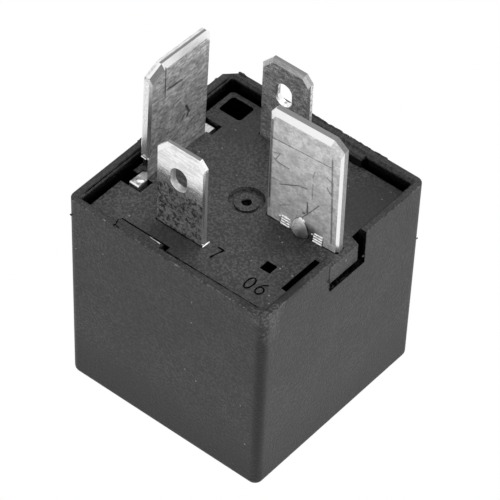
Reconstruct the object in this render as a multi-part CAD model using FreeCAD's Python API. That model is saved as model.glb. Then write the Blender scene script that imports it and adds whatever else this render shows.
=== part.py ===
import FreeCAD, Part
import math
import os
from FreeCAD import Vector

os.makedirs("parts", exist_ok=True)

# Four-blade power relay standing on the closed face of its cover, blades upwards.
# Millimetres.  Origin at the middle of the closed face, +Z up along the blades.
# +Y runs towards the return end of the coil, +X towards the blade of the common contact.

# Cover: one moulding, narrowing downwards, with one flattened corner at -X, +Y
cover_width = 26.0
cover_height = 25.8
cover_wall = 1.0
cover_floor = 1.0
cover_draft = 0.5
cover_corner_radius = 1.0
cover_foot_radius = 0.8
cover_rim_radius = 0.1
cover_lead_in = 0.3
cover_cavity_radius = 0.3
cover_key = 1.45

# Window in the cover's +X wall, open at the rim
window_width = 5.7
window_depth = 4.4
window_centre = 0.45

# Snap ribs inside the cover's two Y walls, which hold the base down
rib_length = 5.5
rib_proud = 0.65
rib_rim_drop = 0.2
rib_chamfer = 0.2
rib_front_centre = -4.2
rib_back_centre = 3.15

# Base: the moulded header that carries the blades
base_recess = 1.55
base_thickness = 3.4
base_gap = 0.4
base_front_gap = 0.65
base_corner_radius = 0.6
base_edge_radius = 0.12
rib_clearance = 0.05
spring_slot_wall = 0.45
spring_slot_width = 0.82
spring_slot_overrun = 0.9

# Tab of the base that shows in the window
tab_setback = 0.45
tab_depth = 2.3
tab_low_gap = 0.2
tab_high_gap = 0.3
tab_taper = 0.4

# Openings and recesses in the base's top
core_hole_size = (2.95, 2.5)
core_hole_inset = (2.13, 1.9)
core_hole_radius = 0.4
test_hole_size = 1.32
test_hole_inset = (3.8, 5.7)
edge_notch_length = 5.4
edge_notch_depth = 0.75
edge_notch_centre = -4.65
gate_diameter = 3.9
gate_depth = 0.55
gate_boss_diameter = 2.6
gate_boss_height = 0.25
gate_dimple_diameter = 1.1
lug_window_width = 2.8
lug_window_lengths = (2.0, 1.65)

# Blades: tinned tabs, wide for the contacts and narrow for the coil
blade_87_width = 9.35
blade_30_width = 9.1
wide_blade_thickness = 1.2
narrow_blade_width = 6.3
narrow_blade_thickness = 0.8
blade_87_height = 14.2
blade_30_height = 14.95
coil_blade_height = 11.5
blade_87_setback = 1.15
blade_87_centre = 0.3
blade_87_lean = 1.8
blade_30_wall_gap = 0.2
blade_30_yaw = 2.0
circuit_offset = 0.5
coil_blade_inset = 3.34
coil_blade_centre = -2.15
slot_clearance = 0.04
shoulder_seat = 0.6

# Coined edges: how far the bevel runs into the thickness, the side and the tip
wide_bevel = (0.28, 0.25, 0.8)
narrow_bevel = (0.2, 0.18, 0.5)

# Clipped tips: width and height of the corner on the left and on the right
blade_87_corners = ((1.8, 0.9), (0.5, 0.5))
blade_30_corners = ((0.5, 0.7), (1.3, 1.0))
coil_blade_corners = ((1.3, 1.4), (0.8, 0.9))

# Locking hole of the narrow blades
eye_width = 1.85
eye_height = 2.65
eye_drop = 4.15
eye_offset = -0.15
eye_coin = 0.18

# Shoulders of the contact blade at -X, which show in the base's two windows
lug_reach = 1.5
lug_height = 1.3
lug_drop = 0.33
lug_radius = 0.3
neck_height = 2.4
neck_relief = 0.6
neck_step = 0.05

# Staking marks at the foot of the blade at +X
stake_width = 1.45
stake_height = 1.1
stake_depth = 0.35
stake_spacing = 4.2
stake_centre = -0.05
bump_radius = 1.4
bump_rise = 0.45
bump_centre = -0.1
bump_proud = 0.6
bump_length = 1.0
bump_fade = 0.35

# Magnet: yoke, core and coil below the base
yoke_thickness = 1.6
yoke_side_inset = 0.8
yoke_bend_radius = 0.4
yoke_foot_overrun = 4.5
yoke_ear_width = 0.8
yoke_ear_drop = 1.3
spring_room = 2.4
armature_room = 5.0
pole_inset = 2.0
pole_thickness = 1.2
core_shoulder = 0.4
core_clearance = 0.03

# Bobbin and winding
bobbin_flange = 1.0
bobbin_tube_wall = 0.7
bobbin_clearance = 0.1
winding_inset = 0.6
winding_depth = 2.54
winding_clearance = 0.03
stop_arm_thickness = 0.8
stop_arm_width = 2.0
stop_arm_clearance = 0.2
stop_toe_reach = 1.3
stop_clearance = 0.1

# Armature: rocks on the lower outer edge of the yoke
armature_thickness = 1.4
armature_side_step = 0.3
armature_rear = 0.3
hinge_gap = 0.12
rest_angle = 3.2
closed_angle = 0.4
ear_clearance = 0.2
armature_end_clearance = 0.3
armature_contact_gap = 1.0

# Contacts, contact spring and their rivets
contact_inset = 1.55
contact_diameter = 3.4
contact_shank = 1.8
moving_contact_height = 0.6
fixed_contact_height = 0.7
contact_tail_diameter = 2.0
contact_tail_height = 0.3
contact_clearance = 0.05
leaf_thickness = 0.3
leaf_width = 6.4
leaf_tip_width = 4.6
leaf_length = 9.8
rivet_diameter = 1.6
rivet_head_diameter = 2.9
rivet_head_height = 0.5
rivet_spacing = 3.8
rivet_inset = 2.4
rivet_clearance = 0.02

# Return spring between the yoke and the armature's tail
spring_mean_diameter = 1.5
spring_wire = 0.26
spring_turns = 6
spring_wire_sides = 4
spring_knot_swell = 0.03
spring_hook_leg = 0.35
spring_length = 7.6
spring_centre = 1.15
hook_neck_width = 0.6
hook_neck_height = 0.45
hook_head_width = 1.4
hook_head_length = 0.35
hook_seat_gap = 0.06

# Braid that carries the load current past the hinge
braid_thickness = 0.5
braid_width = 2.2
braid_offset = 3.3
braid_height = 9.0
braid_weld = 2.0
braid_reach = 1.5
braid_slack = 1.5
braid_seat_gap = 0.12

# Foot of the common blade, riveted to the yoke
foot_width = 5.2
foot_end_inset = 0.4
foot_offset = -1.6
foot_bend_radius = 0.3
foot_rivet_spacing = 2.6
foot_rivet_inset = 1.6
foot_rivet_diameter = 1.4

# Coil blades' tails and the wires that end on them
tail_width = 2.4
tail_depth = 4.8
lead_radius = 0.15
lead_drop = 0.8
lead_wrap = 0.25
lead_wrap_height = 0.7
lead_offset = 0.25
lead_seat_gap = 0.1

# Stem and contact bed of the contact blade
stem_width = 5.6
bed_bend_radius = 0.5

# How far a cutter runs past the face that it opens
past = 1.0

# Levels and faces worked out from the sizes above
slope = math.tan(math.radians(cover_draft))
base_top = cover_height - base_recess
base_bottom = base_top - base_thickness
yoke_top = base_bottom - wide_blade_thickness
coil_top = yoke_top - yoke_thickness
pole_face = cover_floor + armature_room
coil_bottom = pole_face + pole_thickness


def wall_outside(z):
    """Distance from the axis to the cover's outer face at height z."""
    return cover_width / 2 - (cover_height - z) * slope


def wall_inside(z):
    """Distance from the axis to the cover's inner face at height z."""
    return wall_outside(z) - cover_wall


base_half = wall_inside(base_top) - base_gap
base_front = wall_inside(base_top) - base_front_gap
blade_87_x = -(wall_inside(cover_height) - blade_87_setback - wide_blade_thickness / 2)
blade_30_x = wall_inside(cover_height) - blade_30_wall_gap - blade_30_width / 2
coil_blade_y = [circuit_offset + side * (base_half - coil_blade_inset) for side in (-1, 1)]
yoke_outer = wall_inside(cover_height) - spring_room
yoke_inner = yoke_outer - yoke_thickness
contact_x = blade_87_x + wide_blade_thickness / 2 + contact_inset
armature_end = contact_x + contact_diameter / 2 + armature_contact_gap
hinge_z = pole_face - hinge_gap
stop_arm_x = armature_end - armature_end_clearance - stop_arm_thickness
stop_arm_spread = leaf_width + stop_arm_width + 2 * stop_arm_clearance
bobbin_left = stop_arm_x + stop_arm_thickness / 2
bobbin_right = yoke_inner - yoke_bend_radius - bobbin_clearance
bobbin_width = bobbin_right - bobbin_left
winding_diameter = bobbin_width - 2 * winding_inset
winding_bore = winding_diameter - 2 * winding_depth
tube_diameter = winding_bore - 2 * winding_clearance
core_diameter = tube_diameter - 2 * (bobbin_tube_wall + core_clearance)
core_spigot_diameter = core_diameter - 2 * core_shoulder
pole_diameter = winding_diameter - 2 * pole_inset
yoke_width = bobbin_width - 2 * yoke_side_inset
armature_width = yoke_width - 2 * armature_side_step
foot_reach = yoke_width / 2 - foot_end_inset
core_x = (bobbin_left + bobbin_right) / 2
travel_angle = rest_angle - closed_angle


def box(x0, x1, y0, y1, z0, z1):
    """Box between two corners."""
    return Part.makeBox(x1 - x0, y1 - y0, z1 - z0, Vector(x0, y0, z0))


def post(diameter, x, y, z0, z1):
    """Upright cylinder."""
    return Part.makeCylinder(diameter / 2, z1 - z0, Vector(x, y, z0))


def solid_of(shape):
    """Tidy result of a boolean, as one clean shape."""
    return shape.removeSplitter()


def turned(shape, degrees, x, y):
    """Copy of a shape made about the origin, turned about +Z and moved to x, y."""
    copy = shape.copy()
    copy.rotate(Vector(0, 0, 0), Vector(0, 0, 1), degrees)
    copy.translate(Vector(x, y, 0))
    return copy


def square_block(low_half, low, high_half, high, radius, key=0):
    """Upright square block with drafted sides and rounded corners; a key flattens the one at -X, +Y."""
    block = Part.makeWedge(-low_half, 0, -low_half, -high_half, -high_half,
                           low_half, high - low, low_half, high_half, high_half)
    block.rotate(Vector(0, 0, 0), Vector(1, 0, 0), 90)
    block.translate(Vector(0, 0, low))
    corners = [e for e in block.Edges if e.BoundBox.ZLength > (high - low) / 2]
    block = block.makeFillet(radius, [e for e in corners if not (key and at_key(e))])
    if key:
        corners = [e for e in block.Edges if e.BoundBox.ZLength > (high - low) / 2]
        block = block.makeChamfer(key, [e for e in corners if at_key(e)])
    return block


def at_key(edge):
    """Whether an edge lies towards -X, +Y, where the cover's key is."""
    return edge.BoundBox.Center.x < 0 < edge.BoundBox.Center.y


def edges_at(shape, z):
    """Edges of a shape that lie in the level plane at height z."""
    return [e for e in shape.Edges if all(abs(v.Z - z) < 1e-6 for v in e.Vertexes)]


def prism(points, direction):
    """Straight prism on a polygon."""
    return Part.Face(Part.makePolygon(list(points) + [points[0]])).extrude(direction)


def snap_rib(side, centre):
    """Rib on the inner face of a Y wall, with a chamfered upper edge for the base to pass."""
    low = base_top + rib_clearance
    high = cover_height - rib_rim_drop
    face = wall_inside(high)
    root = face + cover_wall / 2
    tip = wall_inside(low) - rib_proud
    profile = ((root, low), (tip, low), (tip, high - rib_chamfer), (tip + rib_chamfer, high), (root, high))
    start = centre - rib_length / 2
    return prism([Vector(start, side * y, z) for y, z in profile], Vector(rib_length, 0, 0))


def make_cover():
    """Cup with drafted walls, a window in the +X wall and snap ribs inside the Y walls."""
    shell = square_block(wall_outside(0), 0, wall_outside(cover_height), cover_height,
                         cover_corner_radius, cover_key)
    shell = shell.makeFillet(cover_foot_radius, edges_at(shell, 0))
    shell = shell.makeFillet(cover_rim_radius, edges_at(shell, cover_height))
    mouth = wall_inside(cover_height)
    shell = shell.cut(square_block(wall_inside(cover_floor), cover_floor, mouth, cover_height,
                                   cover_cavity_radius))
    shell = shell.cut(square_block(mouth, cover_height - cover_lead_in, mouth + cover_lead_in,
                                   cover_height, cover_cavity_radius))
    low_edge = cover_height - window_depth
    start = window_centre - window_width / 2
    window = box(yoke_outer, cover_width, start, start + window_width, low_edge, cover_height + past)
    shell = shell.cut(window)
    ribs = [snap_rib(-1, rib_front_centre), snap_rib(1, rib_back_centre)]
    return solid_of(shell.multiFuse(ribs))


def clipped_outline(width, height, corners, side, tip, y):
    """Blade outline at depth y, drawn in from its sides and from its tip."""
    (left_w, left_h), (right_w, right_h) = corners
    half = width / 2 - side
    top = height - tip
    points = [Vector(-half, y, 0), Vector(half, y, 0), Vector(half, y, top - right_h),
              Vector(half - right_w, y, top), Vector(-half + left_w, y, top), Vector(-half, y, top - left_h)]
    return Part.makePolygon(points + points[:1])


def make_blade(width, height, thickness, corners, bevel):
    """Tab on the origin, width along X, front towards -Y, coined all round its exposed edge."""
    depth, side, tip = bevel
    half = thickness / 2
    layers = ((-half, side, tip), (-half + depth, 0, 0), (half - depth, 0, 0), (half, side, tip))
    return Part.makeLoft([clipped_outline(width, height, corners, s, t, y) for y, s, t in layers], True, True)


def obround(width, height, y):
    """Upright obround outline, centred on the origin, at depth y."""
    r = width / 2
    c = height / 2 - r
    upper = Part.Arc(Vector(r, y, c), Vector(0, y, c + r), Vector(-r, y, c)).toShape()
    lower = Part.Arc(Vector(-r, y, -c), Vector(0, y, -c - r), Vector(r, y, -c)).toShape()
    left = Part.makeLine(Vector(-r, y, c), Vector(-r, y, -c))
    right = Part.makeLine(Vector(r, y, -c), Vector(r, y, c))
    return Part.Wire([upper, left, lower, right])


def make_eye(thickness):
    """Cutter for the locking hole, flared where its rim is coined."""
    half = thickness / 2
    wide = (eye_width + 2 * eye_coin, eye_height + 2 * eye_coin)
    narrow = (eye_width, eye_height)
    layers = ((-half, wide), (-half + eye_coin, narrow), (half - eye_coin, narrow), (half, wide))
    return Part.makeLoft([obround(w, h, y) for y, (w, h) in layers], True, True)


def bent_strip(width, thickness, high, low, reach, radius):
    """Strip that comes straight down the XZ plane and turns level towards -Y, on the origin."""
    half = thickness / 2
    outer = radius + thickness
    bend = math.sin(math.radians(45))
    centre_y, centre_z = -half - radius, low + outer
    spread = (centre_y + outer * bend, centre_z - outer * bend)
    tight = (centre_y + radius * bend, centre_z - radius * bend)
    x = -width / 2
    back = [Vector(x, half, high), Vector(x, half, centre_z)]
    under = [Vector(x, centre_y, low), Vector(x, -reach, low)]
    over = [Vector(x, -reach, low + thickness), Vector(x, centre_y, low + thickness)]
    front = [Vector(x, -half, centre_z), Vector(x, -half, high)]
    edges = [Part.makeLine(*back), Part.Arc(back[1], Vector(x, *spread), under[0]).toShape(),
             Part.makeLine(*under), Part.makeLine(under[1], over[0]),
             Part.makeLine(*over), Part.Arc(over[1], Vector(x, *tight), front[0]).toShape(),
             Part.makeLine(*front), Part.makeLine(front[1], back[0])]
    return Part.Face(Part.Wire(edges)).extrude(Vector(width, 0, 0))


def raised(shape, z):
    """Copy of a shape moved up by z."""
    copy = shape.copy()
    copy.translate(Vector(0, 0, z))
    return copy


# Levels inside the base that the blades and their slots share
seat_z = base_bottom + shoulder_seat
lug_top = base_top - lug_drop
lug_bottom = lug_top - lug_height


def closed_contact_z():
    """Lower face of the fixed contact: just clear of the moving one when the armature is in."""
    angle = math.radians(closed_angle)
    arm = yoke_outer - contact_x - contact_diameter / 2
    below = armature_thickness - moving_contact_height
    return hinge_z - arm * math.sin(angle) - below * math.cos(angle) + contact_clearance


fixed_contact_z = closed_contact_z()
bed_bottom = fixed_contact_z + fixed_contact_height
bed_reach = contact_inset + wide_blade_thickness / 2 + contact_diameter / 2


def place_87(shape):
    """Put a shape made in blade coordinates where the contact blade stands."""
    return turned(shape, 90, blade_87_x, blade_87_centre)


def make_neck():
    """Uncoined edge above the left shoulder, and the cutter that slants it off towards the back."""
    half = wide_blade_thickness / 2
    edge = -blade_87_width / 2
    front, back = edge - neck_step, edge + neck_relief
    high = base_top + neck_height
    outline = ((edge - past, -half), (front, -half), (back, half), (back, half + past),
               (edge - past, half + past))
    relief = prism([Vector(x, y, lug_top) for x, y in outline], Vector(0, 0, high - lug_top))
    return box(front, back, -half, half, lug_top, high), relief


def make_terminal_87():
    """Wide blade with rounded shoulders, a stem, and a level bed for the fixed contact.

    The blade leans a little in its own plane above the shoulders' lower edge, as it was pressed in.
    """
    half = wide_blade_thickness / 2
    blade = raised(make_blade(blade_87_width, blade_87_height + base_top - lug_bottom, wide_blade_thickness,
                              blade_87_corners, wide_bevel), lug_bottom)
    reach = blade_87_width / 2 + lug_reach
    shoulders = box(-reach, reach, -half, half, lug_bottom, lug_top)
    upper = [e for e in edges_at(shoulders, lug_top) if abs(e.BoundBox.XLength) < 1e-6]
    shoulders = shoulders.makeFillet(lug_radius, upper)
    stem = bent_strip(stem_width, wide_blade_thickness, lug_bottom, bed_bottom, bed_reach, bed_bend_radius)
    neck, relief = make_neck()
    upper = blade.fuse(neck).cut(relief).fuse(shoulders)
    upper.rotate(Vector(0, 0, lug_bottom), Vector(0, 1, 0), blade_87_lean)
    body = upper.fuse(stem)
    return solid_of(place_87(body).cut(post(contact_shank, contact_x, circuit_offset, 0, coil_top)))


def slot(width, thickness, low, high):
    """Cutter for a blade's slot: the blade's own section with the slot clearance all round."""
    x = width / 2 + slot_clearance
    y = thickness / 2 + slot_clearance
    return box(-x, x, -y, y, low, high)


def slots_87():
    """Cutters for the contact blade: its slot and the two windows that its shoulders sit in."""
    half = lug_window_width / 2
    left, right = lug_window_lengths
    through = slot(stem_width, wide_blade_thickness, base_bottom - past, base_top + past)
    sink = (blade_87_width / 2 + lug_reach) * math.sin(math.radians(blade_87_lean))
    floor = lug_bottom - sink - slot_clearance
    upper = slot(blade_87_width, wide_blade_thickness, floor, base_top + past)
    start = blade_87_width / 2
    windows = [box(x0, x1, -half, half, floor, base_top + past)
               for x0, x1 in ((-start - left, -start), (start, start + right))]
    return [place_87(cutter) for cutter in [through, upper] + windows]


def place_30(shape):
    """Put a shape made in blade coordinates where the common blade stands, slightly turned."""
    return turned(shape, blade_30_yaw, blade_30_x, circuit_offset)


def stake_mark(x, z):
    """Cutter for a wedge-shaped staking dent in the blade's front, deepest at its foot."""
    front = -wide_blade_thickness / 2
    profile = ((front, z), (front + stake_depth, z), (front, z + stake_height))
    start = x - stake_width / 2
    return prism([Vector(start, y, level) for y, level in profile], Vector(stake_width, 0, 0))


def make_bump():
    """Bump pressed out of the blade's front, drawn out upwards and fading into the face."""
    y = bump_radius - wide_blade_thickness / 2 - bump_proud
    z = base_top + bump_rise
    low = Vector(bump_centre, y, z)
    high = Vector(bump_centre, y + bump_fade, z + bump_length)
    ends = [Part.makeSphere(bump_radius, place) for place in (low, high)]
    body = Part.makeCylinder(bump_radius, low.distanceToPoint(high), low, high - low).multiFuse(ends)
    return front_half(body)


def front_half(shape):
    """What a shape made in blade coordinates keeps in front of the blade's middle plane."""
    bounds = shape.BoundBox
    return shape.common(box(bounds.XMin, bounds.XMax, bounds.YMin, 0, bounds.ZMin, bounds.ZMax))


def foot_rivet_places():
    """Centres of the rivets through the common blade's foot, in blade coordinates."""
    y = -foot_reach + foot_rivet_inset
    return [(foot_offset - foot_rivet_spacing / 2, y), (foot_offset + foot_rivet_spacing / 2, y)]


def foot_rivet_holes():
    """Cutters for the rivet holes through the foot and the yoke."""
    size = foot_rivet_diameter + 2 * rivet_clearance
    return [place_30(post(size, x, y, coil_top - past, base_bottom + past)) for x, y in foot_rivet_places()]


def make_terminal_30():
    """Wide blade at +X with staking dents and a bump, bent below into a level foot."""
    blade = raised(make_blade(blade_30_width, blade_30_height + base_top - seat_z, wide_blade_thickness,
                              blade_30_corners, wide_bevel), seat_z)
    dents = [stake_mark(stake_centre + side * stake_spacing / 2, base_top) for side in (-1, 1)]
    foot = bent_strip(foot_width, wide_blade_thickness, seat_z, yoke_top, foot_reach, foot_bend_radius)
    foot.translate(Vector(foot_offset, 0, 0))
    body = blade.cut(Part.makeCompound(dents)).multiFuse([make_bump(), foot])
    return solid_of(place_30(body).cut(Part.makeCompound(foot_rivet_holes())))


def slots_30():
    """Cutters for the common blade, its bump and the bend above its foot."""
    upper = slot(blade_30_width, wide_blade_thickness, seat_z, base_top + past)
    lower = slot(foot_width, wide_blade_thickness, base_bottom - past, base_top)
    lower.translate(Vector(foot_offset, 0, 0))
    bend = foot_bend_radius + slot_clearance
    front = -wide_blade_thickness / 2
    x = foot_width / 2 + slot_clearance
    relief = box(foot_offset - x, foot_offset + x, front - bend, front,
                 base_bottom - past, base_bottom + bend)
    low = base_top + bump_rise - bump_radius - slot_clearance
    bump = post(2 * (bump_radius + slot_clearance), bump_centre, front + bump_radius - bump_proud,
                low, base_top + past)
    return [place_30(cutter) for cutter in (upper, lower, relief, front_half(bump))]


def make_coil_terminal(y):
    """Narrow blade with a locking hole above the base and a soldering tail below it."""
    height = coil_blade_height + base_top - seat_z
    blade = make_blade(narrow_blade_width, height, narrow_blade_thickness, coil_blade_corners, narrow_bevel)
    eye = make_eye(narrow_blade_thickness)
    eye.translate(Vector(eye_offset, 0, height - eye_drop))
    half = narrow_blade_thickness / 2
    tail = box(-tail_width / 2, tail_width / 2, -half, half, base_bottom - tail_depth - seat_z, 0)
    body = raised(solid_of(blade.cut(eye).fuse(tail)), seat_z)
    return turned(body, 0, coil_blade_centre, y)


def slots_coil(y):
    """Cutters for one coil blade's slot, stepped where the tail goes through."""
    upper = slot(narrow_blade_width, narrow_blade_thickness, seat_z, base_top + past)
    lower = slot(tail_width, narrow_blade_thickness, base_bottom - past, base_top)
    return [turned(cutter, 0, coil_blade_centre, y) for cutter in (upper, lower)]


def make_base():
    """Moulded header: plate with blade slots, core-pin hole, test hole, gate recess and a tab."""
    plate = square_block(base_half, base_bottom, base_half, base_top, base_corner_radius)
    plate = plate.makeFillet(base_edge_radius, edges_at(plate, base_top))
    reach = base_half + past
    plate = plate.cut(box(base_front, reach, -reach, reach, base_bottom - past, base_top + past))
    base = plate.fuse(make_tab())
    cutters = slots_87() + slots_30() + slots_coil(coil_blade_y[0]) + slots_coil(coil_blade_y[1])
    cutters += [core_pin_hole(), test_hole(), edge_notch(), spring_slot(), gate_recess()]
    return solid_of(base.cut(fused(cutters)))


def make_tab():
    """Tab that reaches out of the base into the window, narrower at its outer end."""
    end = wall_outside(base_top) - tab_setback
    low = window_centre - window_width / 2 + tab_low_gap
    high = window_centre + window_width / 2 - tab_high_gap
    root = base_front - past
    outline = ((root, low), (end, low), (end, high - tab_taper), (base_front, high), (root, high))
    return prism([Vector(x, y, base_top - tab_depth) for x, y in outline], Vector(0, 0, tab_depth))


def fused(shapes):
    """One shape from several."""
    return shapes[0].multiFuse(shapes[1:])


def core_pin_hole():
    """Rounded square hole near the flattened corner."""
    size_x, size_y = core_hole_size
    inset_x, inset_y = core_hole_inset
    x = -base_half + inset_x
    y = base_half - inset_y
    hole = box(x - size_x / 2, x + size_x / 2, y - size_y / 2, y + size_y / 2,
               base_bottom - past, base_top + past)
    upright = [e for e in hole.Edges if e.BoundBox.ZLength > base_thickness]
    return hole.makeFillet(core_hole_radius, upright)


def test_hole():
    """Small square hole near the +X, -Y corner."""
    inset_x, inset_y = test_hole_inset
    x = base_half - inset_x
    y = -base_half + inset_y
    half = test_hole_size / 2
    return box(x - half, x + half, y - half, y + half, base_bottom - past, base_top + past)


def edge_notch():
    """Long shallow notch in the base's +X edge, beside the tab."""
    low = edge_notch_centre - edge_notch_length / 2
    return box(base_front - edge_notch_depth, base_front + past, low, low + edge_notch_length,
               base_bottom - past, base_top + past)


def spring_slot():
    """Slot behind the base's -Y edge, so that the edge springs past the front snap rib."""
    start = rib_front_centre - rib_length / 2 - spring_slot_overrun
    near = -base_half + spring_slot_wall
    return box(start, start + rib_length + spring_slot_overrun, near, near + spring_slot_width,
               base_bottom - past, base_top + past)


def gate_recess():
    """Round recess at the moulding gate, with a raised ring and a centre dimple left standing in it."""
    floor = base_top - gate_depth
    well = post(gate_diameter, 0, 0, floor, base_top + past)
    boss = post(gate_boss_diameter, 0, 0, floor - past, floor + gate_boss_height)
    dimple = post(gate_dimple_diameter, 0, 0, base_top - 2 * gate_depth, base_top + past)
    return well.cut(boss).fuse(dimple)


def make_yoke():
    """L-shaped iron: top limb on the core, outer limb down to the armature's rocking edge."""
    half = yoke_width / 2
    left = core_x - yoke_foot_overrun
    outer = yoke_bend_radius + yoke_thickness
    top = box(left, yoke_outer, -half, half, coil_top, yoke_top)
    limb = box(yoke_inner, yoke_outer, -half, half, pole_face, yoke_top)
    body = solid_of(top.fuse(limb))
    crest = [e for e in edges_at(body, yoke_top) if abs(e.Vertexes[0].X - yoke_outer) < 1e-6
             and abs(e.Vertexes[1].X - yoke_outer) < 1e-6]
    body = body.makeFillet(outer, crest)
    inner = [e for e in edges_at(body, coil_top) if abs(e.Vertexes[0].X - yoke_inner) < 1e-6
             and abs(e.Vertexes[1].X - yoke_inner) < 1e-6]
    body = body.makeFillet(yoke_bend_radius, inner)
    ears = [box(yoke_inner, yoke_outer, *sorted((side * half, side * (half - yoke_ear_width))),
                pole_face - yoke_ear_drop, pole_face) for side in (-1, 1)]
    hook_z = pole_face + spring_length
    body = body.multiFuse(ears + [hook_tongue(yoke_outer, hook_z)])
    body.translate(Vector(0, circuit_offset, 0))
    bore = post(core_spigot_diameter + 2 * core_clearance, core_x, circuit_offset,
                coil_top - past, yoke_top + past)
    return solid_of(body.cut(fused([bore] + foot_rivet_holes())))


def hook_tongue(x, z):
    """Narrow neck with a wider head, pointing +X from x, its middle at height z; a spring hooks over it."""
    low, high = z - hook_neck_height / 2, z + hook_neck_height / 2
    end = yoke_outer + spring_centre + spring_wire
    neck = box(x, end, -hook_neck_width / 2, hook_neck_width / 2, low, high)
    head = box(end, end + hook_head_length, -hook_head_width / 2, hook_head_width / 2, low, high)
    return neck.fuse(head)


def make_core():
    """Pole head, shaft through the bobbin, and a spigot staked into the yoke."""
    pieces = [post(pole_diameter, core_x, circuit_offset, pole_face, coil_bottom),
              post(core_diameter, core_x, circuit_offset, coil_bottom, coil_top),
              post(core_spigot_diameter, core_x, circuit_offset, coil_top, yoke_top)]
    return solid_of(fused(pieces))


def make_bobbin():
    """Spool with square flanges; two arms reach down past the armature's end as its back stop."""
    half = bobbin_width / 2
    low = box(bobbin_left, bobbin_right, circuit_offset - half, circuit_offset + half,
              coil_bottom, coil_bottom + bobbin_flange)
    high = raised(low, coil_top - coil_bottom - bobbin_flange)
    tube = post(tube_diameter, core_x, circuit_offset, coil_bottom, coil_top)
    body = fused([low, high, tube] + [stop_arm(-1), stop_arm(1)])
    return solid_of(body.cut(post(core_diameter + 2 * core_clearance, core_x, circuit_offset,
                                  coil_bottom - past, coil_top + past)))


def stop_arm(side):
    """Arm from the lower flange down to a toe that the armature's end rests over."""
    angle = math.radians(rest_angle)
    reach = yoke_outer - armature_end
    toe_top = hinge_z - reach * math.sin(angle) - armature_thickness * math.cos(angle) - stop_clearance
    middle = circuit_offset + side * stop_arm_spread / 2
    near, far = middle - stop_arm_width / 2, middle + stop_arm_width / 2
    right = stop_arm_x + stop_arm_thickness
    arm = box(stop_arm_x, right, near, far, toe_top - stop_arm_thickness, coil_bottom + bobbin_flange)
    toe = box(stop_arm_x, right + stop_toe_reach, near, far, toe_top - stop_arm_thickness, toe_top)
    return arm.fuse(toe)


def make_coil_winding():
    """Copper winding between the flanges."""
    low = coil_bottom + bobbin_flange + winding_clearance
    high = coil_top - bobbin_flange - winding_clearance
    return post(winding_diameter, core_x, circuit_offset, low, high).cut(
        post(winding_bore, core_x, circuit_offset, low, high))


def make_coil_lead(y):
    """Wire from the winding to a coil blade's tail, wrapped round it."""
    side = 1 if y > circuit_offset else -1
    x = coil_blade_centre + lead_offset
    z = coil_top - bobbin_flange - lead_drop
    reach = math.sqrt((winding_diameter / 2) ** 2 - (x - core_x) ** 2) + lead_seat_gap
    start = circuit_offset + side * reach
    inner = narrow_blade_thickness / 2 + winding_clearance
    outer = inner + lead_wrap
    end = y - side * inner
    wire = Part.makeCylinder(lead_radius, abs(end - start), Vector(x, start, z), Vector(0, side, 0))
    width = tail_width / 2 + winding_clearance
    wide = width + lead_wrap
    wrap = box(coil_blade_centre - wide, coil_blade_centre + wide, y - outer, y + outer,
               z - lead_wrap_height / 2, z + lead_wrap_height / 2)
    core = box(coil_blade_centre - width, coil_blade_centre + width, y - inner, y + inner,
               z - lead_wrap_height, z + lead_wrap_height)
    return solid_of(wire.fuse(wrap).cut(core))


def make_yoke_rivets():
    """Rivets that hold the common blade's foot to the yoke, flush on both sides."""
    return Part.makeCompound([place_30(post(foot_rivet_diameter, x, y, coil_top, base_bottom))
                              for x, y in foot_rivet_places()])


def make_fixed_contact():
    """Rivet-shaped contact under the contact blade's bed, its tail headed over above."""
    top = bed_bottom + wide_blade_thickness
    pieces = [post(contact_diameter, contact_x, circuit_offset, fixed_contact_z, bed_bottom),
              post(contact_shank, contact_x, circuit_offset, bed_bottom, top),
              post(contact_tail_diameter, contact_x, circuit_offset, top, top + contact_tail_height)]
    return solid_of(fused(pieces))


def at_rest(shape):
    """Turn a shape made with the armature closed flat down to its place at rest."""
    copy = shape.copy()
    copy.rotate(Vector(yoke_outer, circuit_offset, hinge_z), Vector(0, 1, 0), -rest_angle)
    return copy


def armature_rivet_places():
    """Centres of the rivets that join the contact spring to the armature."""
    x = armature_end + rivet_inset
    return [(x, circuit_offset - rivet_spacing / 2), (x, circuit_offset + rivet_spacing / 2)]


def make_armature():
    """Iron plate notched round the yoke's ears, with a tongue behind for the return spring."""
    half = armature_width / 2
    low = hinge_z - armature_thickness
    rear = yoke_outer + armature_rear
    plate = box(armature_end, rear, -half, half, low, hinge_z)
    inner = yoke_width / 2 - yoke_ear_width - ear_clearance
    notches = [box(yoke_inner - ear_clearance, rear + past, *sorted((side * inner, side * (half + past))),
                   low - past, hinge_z + past) for side in (-1, 1)]
    body = plate.cut(fused(notches)).fuse(hook_tongue(rear, hinge_z - hook_neck_height / 2))
    body.translate(Vector(0, circuit_offset, 0))
    holes = [post(rivet_diameter + 2 * rivet_clearance, x, y, low - past, hinge_z + past)
             for x, y in armature_rivet_places()]
    return at_rest(solid_of(body.cut(fused(holes))))


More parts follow.
